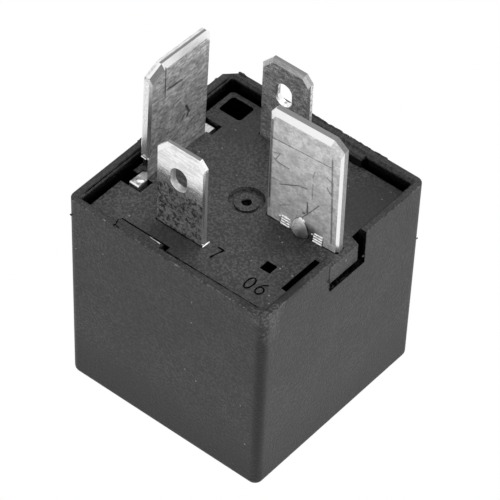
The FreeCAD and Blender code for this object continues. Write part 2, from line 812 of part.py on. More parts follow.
def make_contact_spring():
    """Leaf under the armature: a narrow tip for the moving contact and a tab for the braid."""
    high = hinge_z - armature_thickness
    low = high - leaf_thickness
    tip_end = contact_x - leaf_tip_width / 2
    tip = box(contact_x, armature_end + rivet_inset, -leaf_tip_width / 2, leaf_tip_width / 2, low, high)
    nose = post(leaf_tip_width, contact_x, 0, low, high)
    body = box(armature_end, armature_end + leaf_length, -leaf_width / 2, leaf_width / 2, low, high)
    side = braid_offset - braid_width / 2
    tab = box(core_x, yoke_outer + braid_reach, side, side + braid_width, low, high)
    leaf = fused([tip, nose, body, tab])
    leaf.translate(Vector(0, circuit_offset, 0))
    holes = [post(rivet_diameter + 2 * rivet_clearance, x, y, low - past, high + past)
             for x, y in armature_rivet_places()]
    holes.append(post(contact_shank + 2 * rivet_clearance, contact_x, circuit_offset,
                      low - past, high + past))
    return at_rest(solid_of(leaf.cut(fused(holes))))


def make_armature_rivets():
    """Rivets headed under the contact spring and flush with the armature's upper face."""
    low = hinge_z - armature_thickness - leaf_thickness
    rivets = [post(rivet_diameter, x, y, low, hinge_z).fuse(
        post(rivet_head_diameter, x, y, low - rivet_head_height, low)) for x, y in armature_rivet_places()]
    return at_rest(Part.makeCompound([solid_of(rivet) for rivet in rivets]))


def make_moving_contact():
    """Rivet-shaped contact on the spring's tip, headed over below."""
    high = hinge_z - armature_thickness
    low = high - leaf_thickness
    pieces = [post(contact_diameter, contact_x, circuit_offset, high, high + moving_contact_height),
              post(contact_shank, contact_x, circuit_offset, low, high),
              post(contact_tail_diameter, contact_x, circuit_offset, low - contact_tail_height, low)]
    return at_rest(solid_of(fused(pieces)))


def wire_section(place, across, along):
    """Faceted section of the spring's wire, in the plane of two directions."""
    turns = [2 * math.pi * side / spring_wire_sides for side in range(spring_wire_sides)]
    wire_r = spring_wire / 2
    corners = [place + across * (wire_r * math.cos(a)) + along * (wire_r * math.sin(a)) for a in turns]
    return Part.makePolygon(corners + corners[:1])


def spring_hook(z, way):
    """Open hook in the YZ plane: a leg, a half turn round a tongue, and a second leg."""
    r = spring_mean_diameter / 2
    leg = z + way * spring_hook_leg
    first = (Vector(0, r, z), Vector(0, r, leg))
    second = (Vector(0, -r, leg), Vector(0, -r, z))
    turn = Part.Arc(first[1], Vector(0, 0, leg + way * r), second[0]).toShape()
    path = Part.Wire([Part.makeLine(*first), turn, Part.makeLine(*second)])
    section = wire_section(first[0], Vector(1, 0, 0), Vector(0, 1, 0))
    return path.makePipeShell([section], True, False)


def make_return_spring():
    """Extension spring: a coil, a hook at each end, and a small knot where each hook joins it."""
    r = spring_mean_diameter / 2
    inset = r - spring_wire / 2 - hook_seat_gap + spring_hook_leg
    low = hinge_z - hook_neck_height + inset
    high = pole_face + spring_length + hook_neck_height / 2 - inset
    helix = Part.makeHelix((high - low) / spring_turns, high - low, r)
    section = wire_section(Vector(r, 0, 0), Vector(1, 0, 0), Vector(0, 0, 1))
    coil = Part.Wire(helix.Edges).makePipeShell([section], True, True)
    coil.translate(Vector(0, 0, low))
    coil.rotate(Vector(0, 0, 0), Vector(0, 0, 1), 90)
    knot = (spring_wire + spring_knot_swell) / 2
    knots = [box(-knot, knot, r - knot, r + knot, z - knot, z + knot) for z in (low, high)]
    spring = coil.multiFuse([spring_hook(low, -1), spring_hook(high, 1)] + knots)
    spring.translate(Vector(yoke_outer + spring_centre, circuit_offset, 0))
    return spring


def make_contact_braid():
    """Flat braid from a weld on the yoke, bowed outwards, down to the contact spring's tab."""
    foot_z = hinge_z - armature_thickness + braid_seat_gap
    top = pole_face + braid_height
    face = yoke_outer
    far = face + braid_slack
    near = face + armature_rear + ear_clearance
    t = braid_thickness
    outline = ((face, top), (face + t, top), (face + t, top - braid_weld), (far, top - 2 * braid_weld),
               (far, foot_z), (near, foot_z), (near, foot_z + t), (far - t, foot_z + t),
               (far - t, top - 2 * braid_weld - t / 2), (face, top - braid_weld - t / 2))
    start = circuit_offset + braid_offset - braid_width / 2
    return prism([Vector(x, start, z) for x, z in outline], Vector(0, braid_width, 0))


PARTS = {
    "cover": make_cover,
    "base": make_base,
    "terminal_87": make_terminal_87,
    "terminal_30": make_terminal_30,
    "coil_terminal_85": lambda: make_coil_terminal(coil_blade_y[0]),
    "coil_terminal_86": lambda: make_coil_terminal(coil_blade_y[1]),
    "yoke": make_yoke,
    "core": make_core,
    "bobbin": make_bobbin,
    "coil_winding": make_coil_winding,
    "coil_lead_85": lambda: make_coil_lead(coil_blade_y[0]),
    "coil_lead_86": lambda: make_coil_lead(coil_blade_y[1]),
    "yoke_rivets": make_yoke_rivets,
    "fixed_contact": make_fixed_contact,
    "armature": make_armature,
    "contact_spring": make_contact_spring,
    "armature_rivets": make_armature_rivets,
    "moving_contact": make_moving_contact,
    "return_spring": make_return_spring,
    "contact_braid": make_contact_braid,
}

for node, make in PARTS.items():
    shape = make()
    shape.exportStep("parts/" + node + ".step")
    print(node, "valid", shape.isValid(), "solids", len(shape.Solids), "volume", round(shape.Volume, 2))

print("hinge at", round(yoke_outer, 4), circuit_offset, round(hinge_z, 4), "travel", round(travel_angle, 3))
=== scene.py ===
"""Looks of a plug-in power relay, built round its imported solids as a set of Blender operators."""
import math
from collections import namedtuple

import bmesh
import bpy
from bpy.props import FloatProperty, IntProperty, PointerProperty
from bpy.types import Operator, Panel, PropertyGroup
from mathutils import Matrix, Vector, noise as field


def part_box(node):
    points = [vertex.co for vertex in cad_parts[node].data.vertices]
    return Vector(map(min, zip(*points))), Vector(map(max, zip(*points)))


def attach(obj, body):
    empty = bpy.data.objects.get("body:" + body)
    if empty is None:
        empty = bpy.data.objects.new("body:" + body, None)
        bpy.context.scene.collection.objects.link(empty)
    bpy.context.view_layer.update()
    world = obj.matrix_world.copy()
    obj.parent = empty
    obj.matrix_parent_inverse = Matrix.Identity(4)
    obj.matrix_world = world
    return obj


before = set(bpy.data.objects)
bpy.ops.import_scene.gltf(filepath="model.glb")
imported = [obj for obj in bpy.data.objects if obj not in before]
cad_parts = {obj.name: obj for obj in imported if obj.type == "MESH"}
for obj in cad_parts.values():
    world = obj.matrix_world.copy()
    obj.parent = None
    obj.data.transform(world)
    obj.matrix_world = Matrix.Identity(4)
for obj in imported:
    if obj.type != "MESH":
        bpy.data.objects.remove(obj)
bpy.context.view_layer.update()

bl_info = {
    "name": "Relay looks",
    "version": (1, 0, 0),
    "blender": (4, 5, 0),
    "location": "View3D > Sidebar > Relay",
    "description": "Finishes, moulded marks, windings and stage of a plug-in power relay",
    "category": "Object",
}

MM = 0.001
HOUSING = "housing"


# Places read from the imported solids, and a few measured on them, in millimetres

def box_mm(node):
    """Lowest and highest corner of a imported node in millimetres."""
    low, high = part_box(node)
    return low / MM, high / MM


COVER_LOW, COVER_HIGH = box_mm("cover")
BLADE_87_HIGH = box_mm("terminal_87")[1]
BLADE_30_HIGH = box_mm("terminal_30")[1]
BLADE_85_LOW, BLADE_85_HIGH = box_mm("coil_terminal_85")
WINDING_LOW, WINDING_HIGH = box_mm("coil_winding")
RIM_Z = COVER_HIGH.z
WINDOW_SILL_Z = RIM_Z - 4.42
# Height of the painted shadow lines along the rim's inner edges
SHADOW_LINE_Z = 25.72
BASE_Z = box_mm("base")[1].z
FRONT_Y = COVER_LOW.y
RIGHT_X = COVER_HIGH.x
GATE_DEPTH = 0.42
BLADE_87_FACE = -9.65
BLADE_85_FACE = -8.15
BLADE_30_HALF = 0.6
BLADE_30_YAW = math.radians(2.0)
BLADE_30_MIDDLE = Vector((7.22, 0.5, 0))


# Node tree helpers

def add(tree, kind, inputs=None, **settings):
    """New node with its settings; an input is a value, or a socket that is linked to it."""
    node = tree.nodes.new(kind)
    for name, value in settings.items():
        setattr(node, name, value)
    for name, value in (inputs or {}).items():
        if isinstance(value, bpy.types.NodeSocket):
            tree.links.new(value, node.inputs[name])
        else:
            node.inputs[name].default_value = value
    return node


def vector(tree, operation, first, second=None):
    """One step of vector arithmetic that gives a vector."""
    inputs = {0: first} if second is None else {0: first, 1: second}
    return add(tree, "ShaderNodeVectorMath", inputs, operation=operation).outputs["Vector"]


def measured(tree, operation, first, second):
    """One step of vector arithmetic that gives a number."""
    return add(tree, "ShaderNodeVectorMath", {0: first, 1: second}, operation=operation).outputs["Value"]


def new_material(name):
    """Empty node material, its tree, its shader and the object's coordinates in millimetres."""
    material = bpy.data.materials.new(name)
    material.use_nodes = True
    tree = material.node_tree
    tree.nodes.clear()
    shader = add(tree, "ShaderNodeBsdfPrincipled")
    output = add(tree, "ShaderNodeOutputMaterial")
    tree.links.new(shader.outputs["BSDF"], output.inputs["Surface"])
    place = add(tree, "ShaderNodeTexCoord").outputs["Object"]
    return material, tree, shader, vector(tree, "MULTIPLY", place, (1 / MM, 1 / MM, 1 / MM))


def noise(tree, place, scale, detail=3.0, roughness=0.5, stretch=None):
    """Noise value at a scale per millimetre, optionally stretched along the axes."""
    if stretch:
        place = add(tree, "ShaderNodeMapping", {"Vector": place, "Scale": stretch}).outputs[0]
    return add(tree, "ShaderNodeTexNoise", {"Vector": place, "Scale": scale, "Detail": detail,
                                            "Roughness": roughness}).outputs["Fac"]


def cell_noise(tree, place, scale):
    """Cells at a scale per millimetre: the distance to each one's middle, and its random numbers."""
    cells = add(tree, "ShaderNodeTexVoronoi", {"Vector": place, "Scale": scale, "Randomness": 1.0})
    return cells.outputs["Distance"], add(tree, "ShaderNodeSeparateColor", {0: cells.outputs["Color"]}).outputs


def ramp(tree, value, low, high, to_low=0.0, to_high=1.0):
    """Value mapped smoothly from one range to another, clamped."""
    return add(tree, "ShaderNodeMapRange", {"Value": value, "From Min": low, "From Max": high,
                                            "To Min": to_low, "To Max": to_high},
               interpolation_type="SMOOTHSTEP").outputs["Result"]


def maths(tree, operation, first, second=0.0):
    """One arithmetic step."""
    return add(tree, "ShaderNodeMath", {0: first, 1: second}, operation=operation).outputs[0]


def times(tree, first, second):
    """Product of two numbers."""
    return maths(tree, "MULTIPLY", first, second)


def rest_of(tree, share):
    """What a share leaves of 1."""
    return maths(tree, "SUBTRACT", 1.0, share)


def blend(tree, amount, first, second):
    """Mix of two numbers."""
    return add(tree, "ShaderNodeMix", {0: amount, 2: first, 3: second}).outputs[0]


def mixed(tree, amount, first, second):
    """Mix of two colours; a number stands for a neutral colour of that level."""
    first, second = (grey(c) if isinstance(c, float) else c for c in (first, second))
    return add(tree, "ShaderNodeMix", {0: amount, 6: first, 7: second}, data_type="RGBA").outputs[2]


def scaled(tree, arrow, factor):
    """Vector multiplied by a factor."""
    return add(tree, "ShaderNodeVectorMath", {0: arrow, "Scale": factor}, operation="SCALE").outputs[0]


def bump(tree, height, distance):
    """Bump from a height, its distance in millimetres."""
    return add(tree, "ShaderNodeBump", {"Height": height, "Distance": distance * MM}).outputs["Normal"]


def grey(level):
    """Neutral colour at a linear level."""
    return (level, level, level, 1.0)


def near(tree, place, middle, low, high):
    """1 within a radius of a point and 0 beyond a larger one."""
    return ramp(tree, measured(tree, "DISTANCE", place, middle), high, low)


def paint_shade_round(tree, place, level, painted_shade):
    """Painted shade: level lowered round some points; each is a middle, a reach and the share left there."""
    core = 0.35
    for middle, reach, least in painted_shade:
        away = measured(tree, "DISTANCE", place, middle)
        level = times(tree, level, ramp(tree, away, core * reach, reach, least, 1.0))
    return level


def along(tree, place, axis):
    """One coordinate of a place."""
    return add(tree, "ShaderNodeSeparateXYZ", {0: place}).outputs[axis]


def largest(tree, place):
    """Largest of a place's three coordinates."""
    x, y, z = add(tree, "ShaderNodeSeparateXYZ", {0: place}).outputs
    return maths(tree, "MAXIMUM", maths(tree, "MAXIMUM", x, y), z)


def within(tree, place, low, high):
    """1 inside a box given by two corners in millimetres, and 0 outside it."""
    middle = (Vector(low) + Vector(high)) / 2
    half = (Vector(high) - Vector(low)) / 2
    away = vector(tree, "ABSOLUTE", vector(tree, "SUBTRACT", place, middle))
    return maths(tree, "LESS_THAN", largest(tree, vector(tree, "DIVIDE", away, half)), 1.0)


def turned_to(tree, direction, least):
    """1 where the surface looks along a direction at least so much, and 0 elsewhere."""
    softness = 0.01
    normal = add(tree, "ShaderNodeTexCoord").outputs["Normal"]
    match = measured(tree, "DOT_PRODUCT", normal, tuple(Vector(direction).normalized()))
    return ramp(tree, match, least - softness, least + softness)


def stroke_group():
    """Node group: 1 inside a stroke between two points, in millimetres, and 0 outside it."""
    tree = bpy.data.node_groups.new("stroke", "ShaderNodeTree")
    for name, kind in (("Place", "Vector"), ("Start", "Vector"), ("End", "Vector"), ("Width", "Float")):
        tree.interface.new_socket(name, in_out="INPUT", socket_type="NodeSocket" + kind)
    tree.interface.new_socket("Mask", in_out="OUTPUT", socket_type="NodeSocketFloat")
    given = add(tree, "NodeGroupInput").outputs
    reach = vector(tree, "SUBTRACT", given["Place"], given["Start"])
    line = vector(tree, "SUBTRACT", given["End"], given["Start"])
    ahead = measured(tree, "DOT_PRODUCT", reach, line)
    whole = measured(tree, "DOT_PRODUCT", line, line)
    share = add(tree, "ShaderNodeMath", {0: ahead, 1: whole}, operation="DIVIDE", use_clamp=True).outputs[0]
    away = measured(tree, "DISTANCE", reach, scaled(tree, line, share))
    mask = ramp(tree, away, given["Width"], 0.0)
    result = add(tree, "NodeGroupOutput")
    tree.links.new(mask, result.inputs["Mask"])
    return tree


STROKE = stroke_group()


def strokes(tree, place, lines):
    """Mask of listed strokes, used for scratches, for painted glints and for painted shade along edges: each
    line is a width, a depth from 0 to 1, and its points.
    """
    wobble = 0.12
    stray = add(tree, "ShaderNodeTexNoise", {"Vector": place, "Scale": 1.7, "Detail": 3.0}).outputs["Color"]
    stray = vector(tree, "SUBTRACT", stray, (0.5, 0.5, 0.5))
    shaken = vector(tree, "ADD", scaled(tree, stray, wobble), place)
    mask = None
    for width, depth, *points in lines:
        for start, end in zip(points, points[1:]):
            one = add(tree, "ShaderNodeGroup", {"Place": shaken, "Start": start, "End": end, "Width": width},
                      node_tree=STROKE).outputs["Mask"]
            one = times(tree, one, depth)
            mask = one if mask is None else maths(tree, "MAXIMUM", mask, one)
    return times(tree, mask, ramp(tree, noise(tree, place, 4.0, 2.0), 0.3, 0.5, 0.6, 1.0))


def facing(tree):
    """Two masks: coined bevels and other slanting surfaces, and surfaces that look straight up."""
    square_on, slanting = 0.996, 0.97
    tilted, upright = 0.93, 0.98
    normal = add(tree, "ShaderNodeTexCoord").outputs["Normal"]
    size = largest(tree, vector(tree, "ABSOLUTE", normal))
    return ramp(tree, size, square_on, slanting), ramp(tree, along(tree, normal, 2), tilted, upright)


# Finishes. Scales of noise are in cells per millimetre

WIDE_BAND = (0.3, 0.7)
BRUSH_BAND = (0.38, 0.62)
TONE_BAND = (0.4, 0.62)
FAR_ABOVE = 99.0
# Painted shade in hollows: its near-black tone, and its roughness
PAINTED_SHADE_TONE, HOLLOW_ROUGHNESS = 0.001, 0.12
SPECK_TONE, WORN_TONE = 0.26, 0.3
BEVEL_TONE, BEVEL_ROUGHNESS, END_TONE = 0.9, 0.24, 0.24
# The bright tone is that of painted glints
SCRATCH_TONE, GLINT_TONE, PIT_TONE = 0.02, 0.95, 0.08

Patch = namedtuple("Patch", "low high direction least tone roughness")
ANYWHERE = -1.1


def moulded_plastic(name, tone, grain, speck=0.0, roughness=0.47, pale=(), shaded_hollows=(), spared=None, painted_shade=(),
                    specular=0.5, edges=()):
    """Dark moulded plastic: fine grain, slow changes of tone, worn places, painted shade round points and along
    edges, pale specks where it has them, and painted near-black shade on the walls of its hollows, boxes less
    one spared ball."""
    material, tree, shader, place = new_material(name)
    slow = noise(tree, place, 0.16, 2.0)
    fine = noise(tree, place, 3.6, 2.0, 0.6)
    dust = noise(tree, place, 7.5, 1.0, 0.5)
    level = ramp(tree, fine, *TONE_BAND, tone * (1 - grain), tone * (1 + grain))
    level = times(tree, level, ramp(tree, slow, 0.35, 0.65, 0.88, 1.12))
    level = times(tree, level, ramp(tree, dust, 0.38, 0.66, 1 - 0.5 * grain, 1 + 0.7 * grain))
    # Painted shade round given points
    level = paint_shade_round(tree, place, level, painted_shade)
    # Painted shade along given edges
    if edges:
        level = times(tree, level, rest_of(tree, strokes(tree, place, edges)))
    colour = mixed(tree, level, 0.0, 1.0)
    if speck:
        distance, chance = cell_noise(tree, place, 1.35)
        inside = maths(tree, "LESS_THAN", distance, ramp(tree, chance[1], 0.0, 1.0, 0.06, 0.15))
        chosen = maths(tree, "GREATER_THAN", chance[0], 1.0 - speck)
        colour = mixed(tree, times(tree, inside, chosen), colour, SPECK_TONE)
    for middle, reach, strength in pale:
        patchy = ramp(tree, noise(tree, place, 3.0, 5.0, 0.75), 0.47, 0.62, 0.0, strength)
        worn = times(tree, near(tree, place, middle, 0.3 * reach, reach), patchy)
        colour = mixed(tree, worn, colour, WORN_TONE)
    rough = ramp(tree, fine, *WIDE_BAND, roughness - 0.04, roughness + 0.07)
    # Painted shade: the walls of the hollows are painted near black, where shade falls
    for low, high in shaded_hollows:
        in_shade = within(tree, place, low, high)
        if spared:
            middle, radius = spared
            in_shade = times(tree, in_shade, near(tree, place, middle, radius + 0.02, radius))
        colour = mixed(tree, in_shade, colour, PAINTED_SHADE_TONE)
        rough = blend(tree, in_shade, rough, HOLLOW_ROUGHNESS)
    tree.links.new(colour, shader.inputs["Base Color"])
    tree.links.new(rough, shader.inputs["Roughness"])
    shader.inputs["Specular IOR Level"].default_value = specular
    uneven = maths(tree, "ADD", fine, times(tree, dust, 0.5))
    tree.links.new(bump(tree, uneven, 0.03 + 0.07 * grain), shader.inputs["Normal"])
    return material


def plating(name, tone, tarnish, metallic, roughness, brush, brushed=0.2, dirt_and_reflection=0.0, dark=(), pale=(),
            top_z=FAR_ABOVE, patches=(), spots_top_z=FAR_ABOVE, pitted=0.0, shade=None, painted_shade=()):
    """Tin plate: brushed, tarnished in blotches, speckled below a height with dark spots that are partly dirt
    and partly painted dark reflection, given painted shade lower down and round given points, bright on the
    coined bevels, darker where the sheared end looks up, scratched and pitted where the lines say, and given
    painted glints where the pale lines say. A patch is a box, a direction, how far the surface looks along it,
    its tone and its roughness, and it is as dull as it is rough; some patches hold painted light and shade."""
    material, tree, shader, place = new_material(name)
    height = along(tree, place, 2)
    lines = noise(tree, place, 2.4, 4.0, 0.6, stretch=brush)
    blotch = noise(tree, place, 0.75, 5.0, 0.65)
    spots = noise(tree, place, 2.3, 5.0, 0.72)
    level = ramp(tree, blotch, *TONE_BAND, tone, tarnish)
    level = times(tree, level, ramp(tree, lines, *BRUSH_BAND, 1.0 - brushed, 1.0 + 0.6 * brushed))
    # Dark spots below a height: partly dirt, partly painted dark reflection
    below_spots_top = ramp(tree, height, spots_top_z, spots_top_z - 1.2)
    dark_spots = times(tree, ramp(tree, spots, 0.46, 0.58, 0.0, dirt_and_reflection), below_spots_top)
    level = times(tree, level, rest_of(tree, dark_spots))
    # Painted shade: darker towards the bottom of the blade
    if shade:
        low, high, least = shade
        level = times(tree, level, ramp(tree, height, low, high, least, 1.0))
    slant, up = facing(tree)
    ends = times(tree, up, ramp(tree, height, top_z - 0.9, top_z - 0.6))
    level = blend(tree, slant, level, BEVEL_TONE)
    level = blend(tree, ends, level, END_TONE)
    shine = blend(tree, slant, metallic, 1.0)
    rough = ramp(tree, spots, *WIDE_BAND, 0.7 * roughness, 1.3 * roughness)
    rough = blend(tree, slant, rough, BEVEL_ROUGHNESS)
    uneven = ramp(tree, lines, *BRUSH_BAND, 0.8, 1.15)
    for patch in patches:
        turned = turned_to(tree, patch.direction, patch.least)
        mask = times(tree, within(tree, place, patch.low, patch.high), turned)
        level = blend(tree, mask, level, times(tree, uneven, patch.tone))
        rough = blend(tree, mask, rough, patch.roughness)
        shine = blend(tree, mask, shine, 1.0 - patch.roughness)
    # Painted shade round given points
    colour = mixed(tree, paint_shade_round(tree, place, level, painted_shade), 0.0, 1.0)
    depth = times(tree, lines, 0.5)
    if dark:
        scratched = strokes(tree, place, dark)
        colour = mixed(tree, scratched, colour, SCRATCH_TONE)
        depth = maths(tree, "SUBTRACT", depth, scratched)
    # Painted glints along the pale lines
    if pale:
        colour = mixed(tree, strokes(tree, place, pale), colour, GLINT_TONE)
    if pitted:
        distance, chance = cell_noise(tree, place, 1.5)
        chosen = maths(tree, "GREATER_THAN", chance[0], 1.0 - pitted)
        pits = times(tree, chosen, ramp(tree, distance, 0.14, 0.05, 0.0, 0.8))
        colour = mixed(tree, pits, colour, PIT_TONE)
    tree.links.new(colour, shader.inputs["Base Color"])
    tree.links.new(shine, shader.inputs["Metallic"])
    tree.links.new(rough, shader.inputs["Roughness"])
    tree.links.new(bump(tree, depth, 0.012), shader.inputs["Normal"])
    return material


def plain_metal(name, colour, roughness, grain=5.0, stretch=(1, 1, 1)):
    """Metal with a fine grain in its tone and gloss."""
    material, tree, shader, place = new_material(name)
    fine = noise(tree, place, grain, 4.0, 0.6, stretch=stretch)
    full = tuple(colour) + (1.0,)
    dull = tuple(c * 0.75 for c in colour) + (1.0,)
    tree.links.new(mixed(tree, ramp(tree, fine, *WIDE_BAND), dull, full), shader.inputs["Base Color"])
    shader.inputs["Metallic"].default_value = 1.0
    rough = ramp(tree, fine, *WIDE_BAND, roughness - 0.06, roughness + 0.08)
    tree.links.new(rough, shader.inputs["Roughness"])
    tree.links.new(bump(tree, fine, 0.008), shader.inputs["Normal"])
    return material


def hollow_black(name):
    """Unlit black of a sharp cut in the plastic, slightly uneven."""
    material, tree, shader, place = new_material(name)
    uneven = ramp(tree, noise(tree, place, 6.0), *WIDE_BAND, 0.001, 0.006)
    tree.links.new(mixed(tree, uneven, 0.0, 1.0), shader.inputs["Base Color"])
    shader.inputs["Roughness"].default_value = 0.9
    shader.inputs["Specular IOR Level"].default_value = 0.0
    return material


def woven_copper(name):
    """Copper braid: two sets of slanting strands that cross."""
    material, tree, shader, place = new_material(name)
    strands = []
    for lean in (math.radians(35), math.radians(-35)):
        turned = add(tree, "ShaderNodeMapping", {"Vector": place, "Rotation": (0.0, lean, 0.0)}).outputs[0]
        wave = add(tree, "ShaderNodeTexWave", {"Vector": turned, "Scale": 1.6, "Distortion": 0.4})
        strands.append(wave.outputs["Fac"])
    weave = maths(tree, "MAXIMUM", *strands)
    colour = mixed(tree, weave, (0.22, 0.09, 0.04, 1.0), (0.72, 0.34, 0.18, 1.0))
    tree.links.new(colour, shader.inputs["Base Color"])
    shader.inputs["Metallic"].default_value = 1.0
    tree.links.new(ramp(tree, weave, 0.0, 1.0, 0.55, 0.32), shader.inputs["Roughness"])
    tree.links.new(bump(tree, weave, 0.08), shader.inputs["Normal"])
    return material


def dress(node, material):
    """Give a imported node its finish."""
    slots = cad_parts[node].data.materials
    slots.clear()
    slots.append(material)


# Pieces grown by geometry nodes, and lumps of flash

def geometry_tree(name, inputs):
    """Geometry node tree with named inputs, its group's input sockets, and the function that ends it."""
    tree = bpy.data.node_groups.new(name, "GeometryNodeTree")
    tree.interface.new_socket("Path", in_out="INPUT", socket_type="NodeSocketGeometry")
    for label, kind, value in inputs:
        socket = tree.interface.new_socket(label, in_out="INPUT", socket_type="NodeSocket" + kind)
        if value is not None:
            socket.default_value = value
    tree.interface.new_socket("Piece", in_out="OUTPUT", socket_type="NodeSocketGeometry")
    given = add(tree, "NodeGroupInput").outputs

    def finish(geometry):
        whole = add(tree, "GeometryNodeRealizeInstances", {0: geometry}).outputs[0]
        dressed = add(tree, "GeometryNodeSetMaterial", {"Geometry": whole, "Material": given["Material"]})
        tree.links.new(dressed.outputs[0], add(tree, "NodeGroupOutput").inputs["Piece"])
        return tree

    return tree, given, finish


def seeded_noise(tree, place, seed, scale):
    """Noise that changes with a seed."""
    return add(tree, "ShaderNodeTexNoise", {"Vector": place, "W": seed, "Scale": scale}, noise_dimensions="4D")


def circle(tree, corners, radius):
    """Circle with a number of corners."""
    return add(tree, "GeometryNodeCurvePrimitiveCircle", {"Resolution": corners, "Radius": radius}).outputs[0]


def bead_tree():
    """Bead along a path: it wanders, swells and pinches, and is closed at its ends."""
    tree, given, finish = geometry_tree("bead", (
        ("Radius", "Float", 0.05 * MM), ("Step", "Float", 0.3 * MM), ("Wander", "Float", 0.0),
        ("Swell", "Float", 0.0), ("Wave", "Float", 1500.0), ("Seed", "Float", 0.0), ("Sides", "Int", 7),
        ("Material", "Material", None)))
    curve = add(tree, "GeometryNodeMeshToCurve", {"Mesh": given["Path"]}).outputs[0]
    curve = add(tree, "GeometryNodeResampleCurve", {"Curve": curve, "Length": given["Step"]},
                mode="LENGTH").outputs[0]
    place = add(tree, "GeometryNodeInputPosition").outputs[0]
    stray = seeded_noise(tree, place, given["Seed"], given["Wave"]).outputs["Color"]
    offset = scaled(tree, vector(tree, "SUBTRACT", stray, (0.5, 0.5, 0.5)), given["Wander"])
    curve = add(tree, "GeometryNodeSetPosition", {"Geometry": curve, "Offset": offset}).outputs[0]
    other_seed = maths(tree, "ADD", given["Seed"], 7.0)
    thick = seeded_noise(tree, place, other_seed, given["Wave"]).outputs["Fac"]
    scale = add(tree, "ShaderNodeMapRange", {
        "Value": thick, "From Min": 0.35, "From Max": 0.65, "To Min": rest_of(tree, given["Swell"]),
        "To Max": maths(tree, "ADD", 1.0, given["Swell"])}).outputs["Result"]
    profile = circle(tree, given["Sides"], given["Radius"])
    tube = add(tree, "GeometryNodeCurveToMesh", {"Curve": curve, "Profile Curve": profile, "Scale": scale,
                                                 "Fill Caps": True}).outputs[0]
    return finish(tube)


def ring_tree():
    """Ring of wire round each point of a path, level."""
    tree, given, finish = geometry_tree("rings", (
        ("Ring radius", "Float", 5 * MM), ("Wire radius", "Float", 0.2 * MM),
        ("Ring corners", "Int", 56), ("Wire corners", "Int", 8), ("Material", "Material", None)))
    ring = circle(tree, given["Ring corners"], given["Ring radius"])
    wire = circle(tree, given["Wire corners"], given["Wire radius"])
    turn = add(tree, "GeometryNodeCurveToMesh", {"Curve": ring, "Profile Curve": wire}).outputs[0]
    turns = add(tree, "GeometryNodeInstanceOnPoints", {"Points": given["Path"], "Instance": turn})
    return finish(turns.outputs[0])


def link(name, mesh):
    """Object for a finished mesh, riding on the housing."""
    piece = bpy.data.objects.new(name, mesh)
    bpy.context.scene.collection.objects.link(piece)
    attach(piece, HOUSING)
    return piece


def grow(name, slot, tree, lines, **values):
    """Run a node tree over lines of points in millimetres, and keep the result as one plain mesh."""
    guide_mesh = bpy.data.meshes.new(name + "_guide")
    points, edges = [], []
    for line in lines:
        edges += [(len(points) + k, len(points) + k + 1) for k in range(len(line) - 1)]
        points += [Vector(point) * MM for point in line]
    guide_mesh.from_pydata(points, edges, [])
    guide = bpy.data.objects.new(name + "_guide", guide_mesh)
    bpy.context.scene.collection.objects.link(guide)
    modifier = guide.modifiers.new("grow", "NODES")
    modifier.node_group = tree
    sockets = {item.name: item.identifier for item in tree.interface.items_tree if item.in_out == "INPUT"}
    for label, value in values.items():
        modifier[sockets[label.replace("_", " ")]] = value
    evaluated = guide.evaluated_get(bpy.context.evaluated_depsgraph_get())
    mesh = bpy.data.meshes.new_from_object(evaluated)
    mesh.name = name
    mesh.shade_smooth()
    guide.modifiers.remove(modifier)
    bpy.data.objects.remove(guide)
    bpy.data.meshes.remove(guide_mesh)
    return link(name, mesh)


LUMP_WAVES = 1.6
LUMP_STRIDE = 5.1


def lumps(name, material, places, roughness=0.35):
    """Small uneven lumps of material: each place is its middle and its three half sizes, in millimetres."""
    shape = bmesh.new()
    for number, (middle, half) in enumerate(places):
        made = bmesh.ops.create_icosphere(shape, subdivisions=2, radius=1.0)["verts"]
        for vertex in made:
            start = Vector((number * LUMP_STRIDE, 0, 0))
            uneven = 1.0 + roughness * field.noise(vertex.co * LUMP_WAVES + start)
            vertex.co = (Vector(middle) + Vector(vertex.co * uneven) * Vector(half)) * MM
    mesh = bpy.data.meshes.new(name)
    shape.to_mesh(mesh)
    shape.free()
    mesh.materials.append(material)
    mesh.shade_smooth()
    return link(name, mesh)


# Settings

class CoverSettings(PropertyGroup):
    """Finish of the cover and of the flash on its edges."""
    tone: FloatProperty(name="Tone", description="Linear grey level of the cover's plastic", default=0.023,
                        min=0, max=1, subtype="FACTOR")
    grain: FloatProperty(name="Grain", description="Share by which the grain changes the tone", default=0.65,
                         min=0, max=1, subtype="FACTOR")
    burr: FloatProperty(name="Burr", description="Radius of the worn burr on the rim's front edges",
                        default=0.035 * MM, unit="LENGTH")
    flash: FloatProperty(name="Flash", description="Radius of the flash on the rim's back edges",
                         default=0.09 * MM, unit="LENGTH")


class BaseSettings(PropertyGroup):
    """Finish of the moulded base and its marks."""
    tone: FloatProperty(name="Tone", description="Linear grey level of the base's plastic", default=0.05,
                        min=0, max=1, subtype="FACTOR")
    grain: FloatProperty(name="Grain", description="Share by which the grain changes the tone", default=0.55,
                         min=0, max=1, subtype="FACTOR")
    speck: FloatProperty(name="Specks", description="Share of grain cells that hold a pale speck", default=0.16,
                         min=0, max=1, subtype="FACTOR")
    stroke: FloatProperty(name="Stroke", description="Radius of the strokes of the mould numbers",
                          default=0.085 * MM, unit="LENGTH")


class BladeSettings(PropertyGroup):
    """Tin plate of the four blades."""
    tone_30: FloatProperty(name="Blade 30", description="Linear grey level of the common blade", default=0.92,
                           min=0, max=1, subtype="FACTOR")
    tone_87: FloatProperty(name="Blade 87", description="Linear grey level of the contact blade", default=0.92,
                           min=0, max=1, subtype="FACTOR")
    tone_85: FloatProperty(name="Blade 85", description="Linear grey level of the front coil blade",
                           default=0.9, min=0, max=1, subtype="FACTOR")
    tone_86: FloatProperty(name="Blade 86", description="Linear grey level of the back coil blade", default=0.9,
                           min=0, max=1, subtype="FACTOR")


